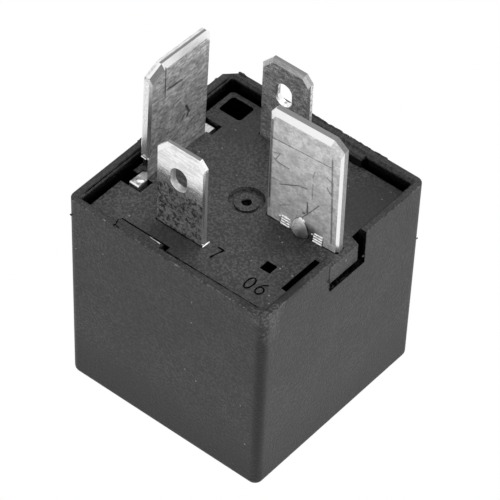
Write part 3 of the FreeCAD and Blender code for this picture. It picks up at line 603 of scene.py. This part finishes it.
class CoilSettings(PropertyGroup):
    """Wire of the coil."""
    turns: IntProperty(name="Turns", description="Turns in the coil's outer layer", default=26, min=2)
    proud: FloatProperty(name="Proud", description="How far the turns stand out of the wound block",
                         default=0.06 * MM, unit="LENGTH")


class StageSettings(PropertyGroup):
    """Camera, lamps and floor."""
    azimuth: FloatProperty(name="Azimuth", description="Camera's direction round the relay",
                           default=math.radians(38.14), subtype="ANGLE")
    elevation: FloatProperty(name="Elevation", description="Camera's height above the horizon",
                             default=math.radians(45.61), subtype="ANGLE")
    roll: FloatProperty(name="Roll", description="Camera's turn about its own axis",
                        default=math.radians(2.30), subtype="ANGLE")
    distance: FloatProperty(name="Distance", description="Distance of the camera along its axis",
                            default=408.73 * MM, unit="LENGTH")
    shift_right: FloatProperty(name="Right", description="How far the camera stands to the right of that axis",
                               default=1.02 * MM, unit="LENGTH")
    shift_up: FloatProperty(name="Up", description="How far the camera stands above that axis",
                            default=11.84 * MM, unit="LENGTH")
    lens: FloatProperty(name="Lens", description="Focal length", default=275.76, unit="CAMERA")
    ambient: FloatProperty(name="Ambient", description="Strength of the even light from all round",
                           default=0.45, min=0, max=1, subtype="FACTOR")


# Pieces

BEAD = bead_tree()
RINGS = ring_tree()
COPPER = (0.62, 0.26, 0.12)
RING_STEP, RING_POINTS = 0.7, 10
OVAL_STEPS = 24
DENT_RIDGES, RIDGE_PITCH = 4, 0.32
LAMP_AIM_Z = 14 * MM
FLOOR_HALF = 3.0


class RELAY_OT_cover(Operator):
    """Finish the black cover"""
    bl_idname = "relay.cover"
    bl_label = "Cover"

    def execute(self, context):
        look = context.scene.relay_cover
        corner = Vector((RIGHT_X, FRONT_Y, RIM_Z))
        worn = ((corner + Vector((0, 1.6, -0.5)), 2.2, 0.35), (corner + Vector((0, 1.2, -3.0)), 2.0, 0.2),
                (corner + Vector((-1.4, 0, -0.3)), 1.6, 0.22))
        # Painted shade: the cover's inner walls and the walls of its window
        shaded_walls = (((-12.25, -12.25, 0.5), (12.25, 12.25, RIM_Z - 0.5)),
                 ((11.9, -2.6, 21.1), (12.92, 3.5, RIM_Z - 0.1)))
        left, right, front, back = COVER_LOW.x, RIGHT_X, FRONT_Y, -FRONT_Y
        # Painted shade: darker along the front corner, along the bottom edges and on the rim's top near the
        # front corner
        upright = (1.5, 1.0, (right - 0.3, front + 0.3, 0), (right - 0.3, front + 0.3, 23.5))
        foot_front = (9.0, 0.9, (left, front, 0), (right, front, 0))
        foot_right = (9.0, 0.7, (right, front, 0), (right, back, 0))
        rim = (1.6, 0.9, (right - 2.6, front + 0.6, RIM_Z), (right - 0.8, front + 0.8, RIM_Z),
               (right - 0.6, -7.0, RIM_Z))
        plastic = moulded_plastic("cover_plastic", look.tone, look.grain, speck=0.03, pale=worn, shaded_hollows=shaded_walls,
                                  specular=0.38, edges=(upright, foot_front, foot_right, rim))
        dress("cover", plastic)
        return {"FINISHED"}


class RELAY_OT_flash(Operator):
    """Pale burr along the rim's front edges, partly worn plastic and partly painted highlight, a painted
    highlight along the rib's edge, flash along the rim's back edges, moulding nibs, dark lines at the tab and
    rim, and painted shadow lines
    """
    bl_idname = "relay.flash"
    bl_label = "Flash and burrs"

    def execute(self, context):
        look = context.scene.relay_cover
        top = RIM_Z - 0.03
        edge = RIGHT_X - 0.04
        # Pale burr: worn plastic, with painted highlight in its lighter tone
        grow("rim_burr", "cover", BEAD,
             [[(-edge + 0.7, -edge, top), (edge - 0.9, -edge, top)],
              [(edge, -edge + 0.9, top), (edge, -2.5, top)],
              [(edge, 3.4, top), (edge, edge - 0.8, top)],
              [(edge, 0.2, WINDOW_SILL_Z), (edge, 1.4, WINDOW_SILL_Z)]],
             Radius=look.burr, Step=0.12 * MM, Wander=0.16 * MM, Swell=1.0, Wave=900.0, Seed=1.0,
             Material=moulded_plastic("worn_edge_and_highlight", tone=0.075, grain=0.8))
        # Painted highlight: a pale bead along the rib's inner edge
        grow("rib_edge", "cover", BEAD, [[(-3.1, -11.55, 25.6), (-1.7, -11.62, 25.6)]],
             Radius=0.045 * MM, Step=0.2 * MM, Wander=0.03 * MM, Swell=0.5, Wave=1500.0, Seed=2.0,
             Material=moulded_plastic("rib_highlight", tone=0.6, grain=0.3))
        grow("rim_flash", "cover", BEAD,
             [[(-2.2, edge, top), (3.0, edge, top), (8.0, edge, top)],
              [(-edge, 10.6, top), (-edge, 4.0, top), (-edge, -2.0, top)]],
             Radius=look.flash, Step=0.12 * MM, Wander=0.28 * MM, Swell=0.7, Wave=1500.0, Seed=3.0,
             Material=moulded_plastic("flash_plastic", tone=0.008, grain=0.3))
        lumps("mould_nibs", moulded_plastic("nib_plastic", tone=0.02, grain=0.3),
              [((-12.5, -12.93, 23.55), (0.16, 0.1, 0.1)), ((12.95, 12.35, 17.95), (0.07, 0.12, 0.08)),
               ((-11.3, 12.85, RIM_Z - 0.02), (0.5, 0.15, 0.24)), ((12.92, 3.0, 22.5), (0.1, 0.16, 0.12))])
        # Dark lines at the tab and across the rim, and painted shadow lines along the rim's inner edges
        grow("seams_and_shadow_lines", "cover", BEAD, self.seams_and_shadows(),
             Radius=0.045 * MM, Step=0.1 * MM, Wander=0.03 * MM, Swell=0.5, Wave=1800.0, Seed=4.0,
             Material=hollow_black("seam_and_shadow_black"))
        return {"FINISHED"}

    @staticmethod
    def seams_and_shadows():
        """Dark lines of the tab's edge, of a small ring mark beside it and across the front rim, and painted
        shadow lines along the inner edges of the front and left walls.
        """
        face = RIGHT_X - 0.03
        ring_y, ring_z, radius = -2.72, 23.33, 0.16
        turns = [RING_STEP * k for k in range(RING_POINTS)]
        ring = [(face, ring_y + radius * math.cos(turn), ring_z + radius * math.sin(turn)) for turn in turns]
        return [[(face, -2.6, 25.55), (face, -2.62, 24.2), (face, -2.46, 21.8)],
                ring,
                [(-6.66, -12.9, RIM_Z), (-6.86, -12.88, RIM_Z), (-6.73, -12.58, RIM_Z), (-6.94, -12.19, RIM_Z),
                 (-6.99, -11.9, RIM_Z)],
                [(-6.8, -12.7, RIM_Z), (-6.13, -12.8, RIM_Z)],
                [(-0.67, -12.12, SHADOW_LINE_Z), (5.5, -12.06, SHADOW_LINE_Z), (11.5, -12.0, SHADOW_LINE_Z)],
                [(-12.08, -11.3, SHADOW_LINE_Z), (-12.1, 0.0, SHADOW_LINE_Z), (-12.08, 11.3, SHADOW_LINE_Z)]]


class RELAY_OT_base(Operator):
    """Finish the moulded base"""
    bl_idname = "relay.base"
    bl_label = "Base"

    def execute(self, context):
        look = context.scene.relay_base
        # Painted shade: the base's faces below its top, inside the cover
        shaded_walls = (((-12.2, -12.2, 20.0), (12.2, 12.2, BASE_Z - 0.06)),)
        # Painted shadows on the base, near the blades and towards its back corners
        shadows = (((9.5, 7.5, BASE_Z), 6.5, 0.35), ((-2.2, -9.6, BASE_Z), 4.2, 0.4),
                   ((6.5, -1.6, BASE_Z), 3.6, 0.55), ((-7.5, 8.5, BASE_Z), 5.0, 0.5))
        gate = ((0, 0, BASE_Z), 2.3)
        plastic = moulded_plastic("base_plastic", look.tone, look.grain, look.speck, roughness=0.5,
                                  shaded_hollows=shaded_walls, spared=gate, painted_shade=shadows, specular=0.42)
        dress("base", plastic)
        return {"FINISHED"}


def on_blade_30(across, out, z):
    """Point on the common blade: across it, out from its front face, and at a height."""
    turn = Matrix.Rotation(BLADE_30_YAW, 3, "Z")
    face = Vector((across, -BLADE_30_HALF - out, 0))
    return tuple(turn @ face + BLADE_30_MIDDLE + Vector((0, 0, z)))


def placed_digit(digit, x, y):
    """Centre line of a plain digit on the base, read from the front, 0.9 by 1.65 mm."""
    half_wide, half_tall = 0.42, 0.82

    def oval(middle, tall, start, end):
        turn = [math.radians(start + (end - start) * k / OVAL_STEPS) for k in range(OVAL_STEPS + 1)]
        return [(x + half_wide * math.cos(t), y + middle + tall * math.sin(t), BASE_Z) for t in turn]

    if digit == "0":
        return oval(0.0, half_tall, 0, 360)
    if digit == "6":
        stem = [(x + 0.3, y + half_tall, BASE_Z), (x - 0.1, y + 0.55, BASE_Z), (x - 0.36, y + 0.1, BASE_Z)]
        return stem + oval(-0.32, 0.5, 150, 510)
    return [(x - 0.38, y + half_tall, BASE_Z), (x + 0.38, y + half_tall, BASE_Z), (x + 0.1, y, BASE_Z),
            (x - 0.08, y - half_tall, BASE_Z)]


class RELAY_OT_marks(Operator):
    """Plain mould numbers, the scar of the moulding gate and the dark lines at the blades' feet"""
    bl_idname = "relay.marks"
    bl_label = "Mould marks"

    def execute(self, context):
        look = context.scene.relay_base
        black = hollow_black("cut_black")
        # The mould numbers are sunk; their strokes are drawn black as painted shade in the sunk strokes
        lines = [placed_digit("7", 2.55, -7.9), placed_digit("0", 7.78, -8.82), placed_digit("6", 9.18, -8.7)]
        grow("mould_numbers", "base", BEAD, lines, Radius=look.stroke, Step=0.08 * MM, Swell=0.25,
             Wave=2500.0, Seed=5.0, Material=black)
        floor = BASE_Z - GATE_DEPTH
        lumps("gate_scar", black,
              [((0.05, -0.1, floor), (0.4, 0.5, 0.1)), ((-0.3, -0.35, floor), (0.3, 0.24, 0.1)),
               ((0.3, 0.25, floor), (0.24, 0.34, 0.1))], roughness=0.9)
        foot = BLADE_85_LOW.y - 0.04
        grow("foot_lines", "base", BEAD,
             [[(BLADE_85_LOW.x + 0.1, foot, BASE_Z), (BLADE_85_HIGH.x - 0.1, foot, BASE_Z)],
              [on_blade_30(-4.5, 0.03, BASE_Z), on_blade_30(-2.6, 0.03, BASE_Z)],
              [on_blade_30(2.8, 0.03, BASE_Z), on_blade_30(4.5, 0.03, BASE_Z)]],
             Radius=0.05 * MM, Step=0.15 * MM, Wander=0.02 * MM, Swell=0.4, Wave=1500.0, Seed=6.0,
             Material=black)
        return {"FINISHED"}


class RELAY_OT_blades(Operator):
    """Finish the four tinned blades"""
    bl_idname = "relay.blades"
    bl_label = "Blades"

    def execute(self, context):
        look = context.scene.relay_blades
        # Painted shade round the lower right of the common blade's staking bump
        bump_foot_shade = ((8.3, -0.5, 24.6), 2.3, 0.12)
        dress("terminal_30", plating(
            "plating_30", look.tone_30, tarnish=look.tone_30 * 0.72, metallic=0.4, roughness=0.5,
            brush=(0.8, 3.0, 2.0), brushed=0.12, dirt_and_reflection=0.2, dark=SCRATCHES_30, top_z=BLADE_30_HIGH.z,
            patches=PATCHES_30, pitted=0.3, shade=(25.0, 37.0, 0.85), painted_shade=(bump_foot_shade,)))
        dress("terminal_87", plating(
            "plating_87", look.tone_87, tarnish=look.tone_87 * 0.7, metallic=0.7, roughness=0.45,
            brush=(3.0, 0.5, 3.4), brushed=0.45, dirt_and_reflection=0.4, dark=SCRATCHES_87, top_z=BLADE_87_HIGH.z,
            patches=PATCHES_87, pitted=0.1, shade=(27.0, 37.0, 0.72)))
        # Blade 85's heavy dark spots below 31 mm, and blade 86's dark spots, are partly dirt and partly painted
        # dark reflection
        dress("coil_terminal_85", plating(
            "plating_85", look.tone_85, tarnish=look.tone_85 * 0.86, metallic=0.82, roughness=0.13,
            brush=(0.4, 3.0, 2.4), brushed=0.12, dirt_and_reflection=0.78, dark=SCRATCHES_85, pale=PAINTED_GLINTS_85,
            top_z=BLADE_85_HIGH.z, patches=PATCHES_85, spots_top_z=31.0))
        dress("coil_terminal_86", plating(
            "plating_86", look.tone_86, tarnish=look.tone_86 * 0.7, metallic=0.72, roughness=0.32,
            brush=(0.4, 3.0, 2.4), brushed=0.4, dirt_and_reflection=0.5, top_z=BLADE_85_HIGH.z, patches=PATCHES_86))
        return {"FINISHED"}


# Patches, scratches and painted glints of the blades, placed in millimetres; three patches of blade 87 hold
# painted light and shade

def set_on(axis, level, lines):
    """Strokes, scratches and painted glints, drawn on a flat face: each point gets the face's level along an
    axis.
    """
    return tuple((width, depth, *(point[:axis] + (level,) + point[axis:] for point in points))
                 for width, depth, *points in lines)


PATCHES_30 = (
    Patch((5.4, -1.5, 24.0), (8.8, -0.19, 27.6), (0, -1, 0.3), ANYWHERE, 0.95, 0.5),
    Patch((11.0, -1.5, 24.0), (12.6, 2.5, 39.5), (1, 0, 0), 0.97, 0.3, 0.4),
    Patch((9.6, -1.5, 36.0), (12.6, 2.5, 39.5), (0.6, 0, 0.8), 0.97, 0.2, 0.4),
    Patch((9.6, -1.5, 36.0), (12.6, 2.5, 39.5), (0.25, -0.92, 0.3), 0.985, 0.62, 0.4),
    Patch((2.95, -1.0, 25.5), (3.25, 0.3, 37.8), (0, -1, 0), 0.9, 0.38, 0.45),
    Patch((2.3, -1.5, 24.0), (2.95, 0.6, 38.2), (-0.7, -0.7, 0), 0.9, 0.75, 0.7),
)
PATCHES_87 = (
    Patch((-11.4, -4.6, 24.0), (-9.2, -3.6, 37.2), (0, -1, 0), 0.9, 0.85, 0.26),
    # Painted shade on the front bevel of the contact blade's top
    Patch((-11.4, -4.6, 34.6), (-9.2, -1.9, 38.7), (0.935, -0.201, 0.292), 0.99, 0.2, 0.4),
    Patch((-11.4, -4.6, 24.0), (-9.2, -3.3, 26.75), (0, -1, 0), 0.9, 0.8, 0.75),
    # Painted light on the back half of that top, as a lit back chamfer would look
    Patch((-11.4, -4.6, 37.5), (-10.25, 5.2, 38.9), (0, 0, 1), 0.9, 0.75, 0.4),
    # Painted light: the lug tops, white although the cavity shades them
    Patch((-13.0, -13.0, 22.0), (13.0, 13.0, 24.0), (0, 0, 1), 0.8, 1.0, 0.95),
)
PATCHES_85 = (
    Patch((-5.4, -8.3, 34.4), (1.2, -7.2, 35.9), (0, -0.7, 0.7), 0.9, 0.8, 0.3),
    Patch((-4.4, -8.13, 30.0), (-0.2, -7.2, 33.6), (0, 0, 1), ANYWHERE, 0.4, 0.4),
    Patch((0.6, -8.4, 24.0), (1.3, -7.0, 34.6), (1, 0, 0), 0.97, 0.3, 0.4),
)
PATCHES_86 = (
    Patch((-5.4, 8.2, 33.6), (1.2, 9.3, 35.9), (0, -0.86, 0.5), 0.93, 0.42, 0.38),
    Patch((-0.5, 8.2, 33.0), (1.2, 9.3, 35.9), (0.6, 0, 0.8), 0.97, 0.4, 0.4),
)
SCRATCHES_30 = (
    (0.11, 0.9, (3.1, -0.24, 35.35), (6.9, -0.12, 35.5), (10.45, 0.01, 35.6)),
    (0.12, 0.9, (3.46, -0.23, 32.65), (4.11, -0.21, 32.35), (5.37, -0.16, 32.29)),
    (0.11, 0.7, (3.31, -0.24, 33.39), (4.18, -0.21, 33.65), (3.6, -0.23, 32.45)),
    (0.09, 0.7, (3.07, -0.25, 29.87), (4.46, -0.2, 29.9)),
    (0.12, 0.9, (4.35, -0.2, 29.55), (6.7, -0.12, 30.74), (7.7, -0.08, 30.94)),
    (0.15, 1.0, (7.85, -0.08, 29.06), (7.86, -0.08, 27.64)),
    (0.24, 1.0, (7.37, -0.1, 27.33), (7.49, -0.09, 27.41)),
    (0.11, 0.9, (9.27, -0.03, 29.54), (8.1, -0.07, 27.8), (7.39, -0.09, 26.77), (6.98, -0.11, 24.79)),
    (0.20, 0.7, (10.57, 0.02, 36.78), (10.8, 0.02, 31.36), (11.0, 0.03, 25.37)),
    (0.30, 0.7, (2.8, -0.25, 38.19), (3.01, -0.25, 31.25), (3.05, -0.25, 27.0)),
    (0.15, 0.7, (10.04, 0.0, 33.96), (10.81, 0.02, 33.6)),
    (0.15, 0.7, (10.11, 0.0, 32.6), (10.78, 0.02, 31.76)),
    (0.14, 0.5, (8.4, -0.06, 31.95), (8.38, -0.06, 29.82)),
    (0.14, 0.5, (8.55, -0.05, 33.86), (8.35, -0.06, 32.9)),
    (0.09, 0.7, (4.48, -0.2, 26.63), (5.71, -0.15, 27.42)),
)
SCRATCHES_87 = set_on(0, BLADE_87_FACE, (
    (0.15, 1.0, (-1.67, 37.87), (-1.75, 34.06)),
    (0.26, 1.0, (-1.3, 34.71), (0.89, 34.43)),
    (0.32, 1.0, (1.62, 30.27), (2.12, 29.21), (1.81, 28.86)),
    (0.21, 1.0, (1.02, 28.86), (1.48, 29.23)),
    (0.12, 0.5, (-1.25, 32.03), (0.32, 31.89)),
    (0.12, 0.5, (-2.93, 30.42), (-1.98, 29.6)),
))
SCRATCHES_85 = set_on(1, BLADE_85_FACE, (
    (0.18, 0.7, (-4.73, 28.36), (-4.6, 28.2)),
    (0.18, 0.6, (-4.2, 28.29), (-4.1, 28.2)),
    (0.2, 0.6, (-4.71, 27.24), (-3.91, 27.05)),
    (0.16, 0.7, (-0.15, 30.39), (-0.01, 30.2)),
))
# Painted glints: bright strokes on the front coil blade's face
PAINTED_GLINTS_85 = set_on(1, BLADE_85_FACE, (
    (0.1, 0.9, (-1.39, 27.15), (0.59, 26.91)),
    (0.08, 0.9, (-1.12, 27.04), (-0.46, 26.77)),
))


class RELAY_OT_burrs(Operator):
    """Staked ridges, and bright burrs of the blades"""
    bl_idname = "relay.burrs"
    bl_label = "Blade burrs"

    def execute(self, context):
        bright = plating("bright_tin", tone=1.0, tarnish=0.95, metallic=0.6, roughness=0.3,
                         brush=(0.6, 5.0, 5.0), brushed=0.05)
        grow("stake_ridges", "blade", BEAD, self.ridges(), Radius=0.13 * MM, Step=0.15 * MM, Wander=0.05 * MM,
             Swell=0.25, Wave=2500.0, Seed=8.0, Material=bright)
        side, low, high = BLADE_85_HIGH.x, BLADE_85_LOW.y, BLADE_85_HIGH.y
        grow("blade_burrs", "blade", BEAD,
             [[(side + 0.02, low - 0.05, BASE_Z + 0.05), (side + 0.05, high + 0.15, BASE_Z + 0.06)],
              [(-10.45, -4.36, 26.95), (-9.85, -4.38, 26.9)]],
             Radius=0.09 * MM, Step=0.15 * MM, Wander=0.05 * MM, Swell=0.3, Wave=1500.0, Seed=9.0,
             Material=bright)
        lumps("lug_burrs", bright,
              [((-10.2, -4.8, 23.68), (0.74, 0.85, 0.5)), ((-10.35, -5.45, 23.5), (0.5, 0.3, 0.4))],
              roughness=0.5)
        return {"FINISHED"}

    @staticmethod
    def ridges():
        """Level ridges that climb out of the two staking dents of the common blade, and a nick beside each."""
        lines = []
        for left in (-2.5, 1.6):
            for step in range(DENT_RIDGES):
                z = BASE_Z + 0.14 + RIDGE_PITCH * step
                out = 0.1 - 0.03 * step
                lines.append([on_blade_30(left + 0.03 * step, out, z), on_blade_30(left + 1.1, out, z - 0.02)])
            nick_z = BASE_Z + 0.8
            lines.append([on_blade_30(left - 0.3, -0.05, nick_z), on_blade_30(left - 0.1, -0.05, nick_z)])
        return lines


class RELAY_OT_magnet(Operator):
    """Finish the magnet, the switch and the wires inside"""
    bl_idname = "relay.magnet"
    bl_label = "Magnet and switch"

    def execute(self, context):
        iron = plain_metal("zinc_plated_iron", (0.55, 0.55, 0.56), roughness=0.4)
        copper = plain_metal("enamelled_copper", COPPER, roughness=0.3)
        bronze = plain_metal("spring_bronze", (0.72, 0.46, 0.24), roughness=0.32, grain=3.0,
                             stretch=(0.4, 4.0, 4.0))
        silver = plain_metal("contact_silver", (0.85, 0.84, 0.8), roughness=0.28)
        steel = plain_metal("spring_steel", (0.45, 0.45, 0.46), roughness=0.3)
        finishes = {
            iron: ("yoke", "core", "armature"),
            copper: ("coil_winding", "coil_lead_85", "coil_lead_86"),
            woven_copper("braid_copper"): ("contact_braid",),
            bronze: ("contact_spring", "armature_rivets", "yoke_rivets"),
            silver: ("fixed_contact", "moving_contact"),
            steel: ("return_spring",),
            moulded_plastic("spool_plastic", tone=0.5, grain=0.08): ("bobbin",),
        }
        for material, nodes in finishes.items():
            for node in nodes:
                dress(node, material)
        return {"FINISHED"}


class RELAY_OT_winding(Operator):
    """Turns of wire round the coil"""
    bl_idname = "relay.winding"
    bl_label = "Winding"

    def execute(self, context):
        look = context.scene.relay_coil
        middle = (WINDING_LOW + WINDING_HIGH) / 2
        pitch = (WINDING_HIGH.z - WINDING_LOW.z) / look.turns
        wire = pitch / 2 * MM
        reach = (WINDING_HIGH.x - WINDING_LOW.x) / 2 * MM
        points = [[(middle.x, middle.y, WINDING_LOW.z + pitch * (turn + 0.5))] for turn in range(look.turns)]
        grow("winding_turns", "copper", RINGS, points, Ring_radius=reach + look.proud - wire, Wire_radius=wire,
             Material=plain_metal("enamelled_wire", COPPER, roughness=0.28))
        return {"FINISHED"}


class RELAY_OT_stage(Operator):
    """Set up the pale floor, the lamps and the camera"""
    bl_idname = "relay.stage"
    bl_label = "Stage"

    def execute(self, context):
        look = context.scene.relay_stage
        make_world(look)
        make_floor()
        make_lamps()
        make_camera(context, look)
        return {"FINISHED"}


def seen_rays(tree):
    """1 for camera, glossy and transmission rays, and 0 for the rest."""
    rays = add(tree, "ShaderNodeLightPath")
    seen = maths(tree, "MAXIMUM", rays.outputs["Is Camera Ray"], rays.outputs["Is Glossy Ray"])
    return maths(tree, "MAXIMUM", seen, rays.outputs["Is Transmission Ray"])


def make_world(look):
    """World that is white where it is seen, and an even light elsewhere."""
    world = bpy.data.worlds.new("studio")
    bpy.context.scene.world = world
    world.use_nodes = True
    tree = world.node_tree
    tree.nodes.clear()
    strength = maths(tree, "MULTIPLY_ADD", seen_rays(tree), 1.0 - look.ambient)
    strength.node.inputs[2].default_value = look.ambient
    back = add(tree, "ShaderNodeBackground", {"Color": (1, 1, 1, 1), "Strength": strength})
    output = add(tree, "ShaderNodeOutputWorld")
    tree.links.new(back.outputs[0], output.inputs["Surface"])


def make_floor():
    """Wide pale floor under the cover's closed face."""
    mesh = bpy.data.meshes.new("floor")
    half = FLOOR_HALF
    corners = [(-half, -half, 0), (half, -half, 0), (half, half, 0), (-half, half, 0)]
    mesh.from_pydata(corners, [], [(0, 1, 2, 3)])
    floor = bpy.data.objects.new("floor", mesh)
    bpy.context.scene.collection.objects.link(floor)
    material, tree, shader, _ = new_material("pale_floor")
    shader.inputs["Base Color"].default_value = grey(0.85)
    shader.inputs["Roughness"].default_value = 0.9
    glow = add(tree, "ShaderNodeEmission", {"Color": grey(1.0), "Strength": 1.0})
    mix = add(tree, "ShaderNodeMixShader", {0: seen_rays(tree), 1: shader.outputs[0], 2: glow.outputs[0]})
    output = next(n for n in tree.nodes if n.type == "OUTPUT_MATERIAL")
    tree.links.new(mix.outputs[0], output.inputs["Surface"])
    mesh.materials.append(material)


def lamp(name, azimuth, elevation, distance, size, power):
    """Square soft lamp that faces the relay from an azimuth and elevation in degrees."""
    data = bpy.data.lights.new(name, "AREA")
    data.shape = "SQUARE"
    data.size = size
    data.energy = power
    obj = bpy.data.objects.new(name, data)
    back = direction(math.radians(azimuth), math.radians(elevation))
    obj.location = Vector((0, 0, LAMP_AIM_Z)) + back * distance
    obj.rotation_mode = "QUATERNION"
    obj.rotation_quaternion = (-back).to_track_quat("-Z", "Y")
    bpy.context.scene.collection.objects.link(obj)


def direction(azimuth, elevation):
    """Unit vector from the relay towards an azimuth and elevation."""
    level = math.cos(elevation)
    return Vector((math.sin(azimuth) * level, -math.cos(azimuth) * level, math.sin(elevation)))


def make_lamps():
    """Key from the right, fill from the left, and a soft one above."""
    lamp("key", azimuth=62, elevation=22, distance=0.40, size=0.26, power=1.0)
    lamp("fill", azimuth=2, elevation=28, distance=0.40, size=0.26, power=0.08)
    lamp("top", azimuth=150, elevation=70, distance=0.40, size=0.30, power=0.4)


def make_camera(context, look):
    """Camera at the photograph's angle."""
    back = direction(look.azimuth, look.elevation)
    right = (-back).cross(Vector((0, 0, 1))).normalized()
    up = right.cross(-back)
    across = right * math.cos(look.roll) + up * math.sin(look.roll)
    upright = up * math.cos(look.roll) - right * math.sin(look.roll)
    data = bpy.data.cameras.new("camera")
    data.sensor_width = 36.0
    data.lens = look.lens
    data.clip_start, data.clip_end = 0.01, 10.0
    camera = bpy.data.objects.new("camera", data)
    turn = Matrix((across, upright, back)).transposed().to_4x4()
    place = back * look.distance + across * look.shift_right + upright * look.shift_up
    camera.matrix_world = Matrix.Translation(place) @ turn
    context.scene.collection.objects.link(camera)
    context.scene.camera = camera
    context.scene.view_settings.view_transform = "Standard"


class RELAY_PT_looks(Panel):
    """Lists the relay's pieces"""
    bl_idname = "RELAY_PT_looks"
    bl_label = "Relay looks"
    bl_space_type = "VIEW_3D"
    bl_region_type = "UI"
    bl_category = "Relay"

    def draw(self, context):
        for operator in PIECES:
            self.layout.operator(operator.bl_idname)


SETTINGS = {"relay_cover": CoverSettings, "relay_base": BaseSettings, "relay_blades": BladeSettings,
            "relay_coil": CoilSettings, "relay_stage": StageSettings}
PIECES = (RELAY_OT_stage, RELAY_OT_cover, RELAY_OT_flash, RELAY_OT_base, RELAY_OT_marks, RELAY_OT_blades,
          RELAY_OT_burrs, RELAY_OT_magnet, RELAY_OT_winding)


def register():
    """Register the settings, the operators and the panel."""
    for name, settings in SETTINGS.items():
        bpy.utils.register_class(settings)
        setattr(bpy.types.Scene, name, PointerProperty(type=settings))
    for operator in PIECES:
        bpy.utils.register_class(operator)
    bpy.utils.register_class(RELAY_PT_looks)


def unregister():
    """Undo register."""
    bpy.utils.unregister_class(RELAY_PT_looks)
    for operator in reversed(PIECES):
        bpy.utils.unregister_class(operator)
    for name, settings in reversed(list(SETTINGS.items())):
        delattr(bpy.types.Scene, name)
        bpy.utils.unregister_class(settings)


def main():
    """Register, then build every piece in order."""
    register()
    for operator in PIECES:
        group, name = operator.bl_idname.split(".")
        getattr(getattr(bpy.ops, group), name)()


if __name__ == "__main__":
    main()
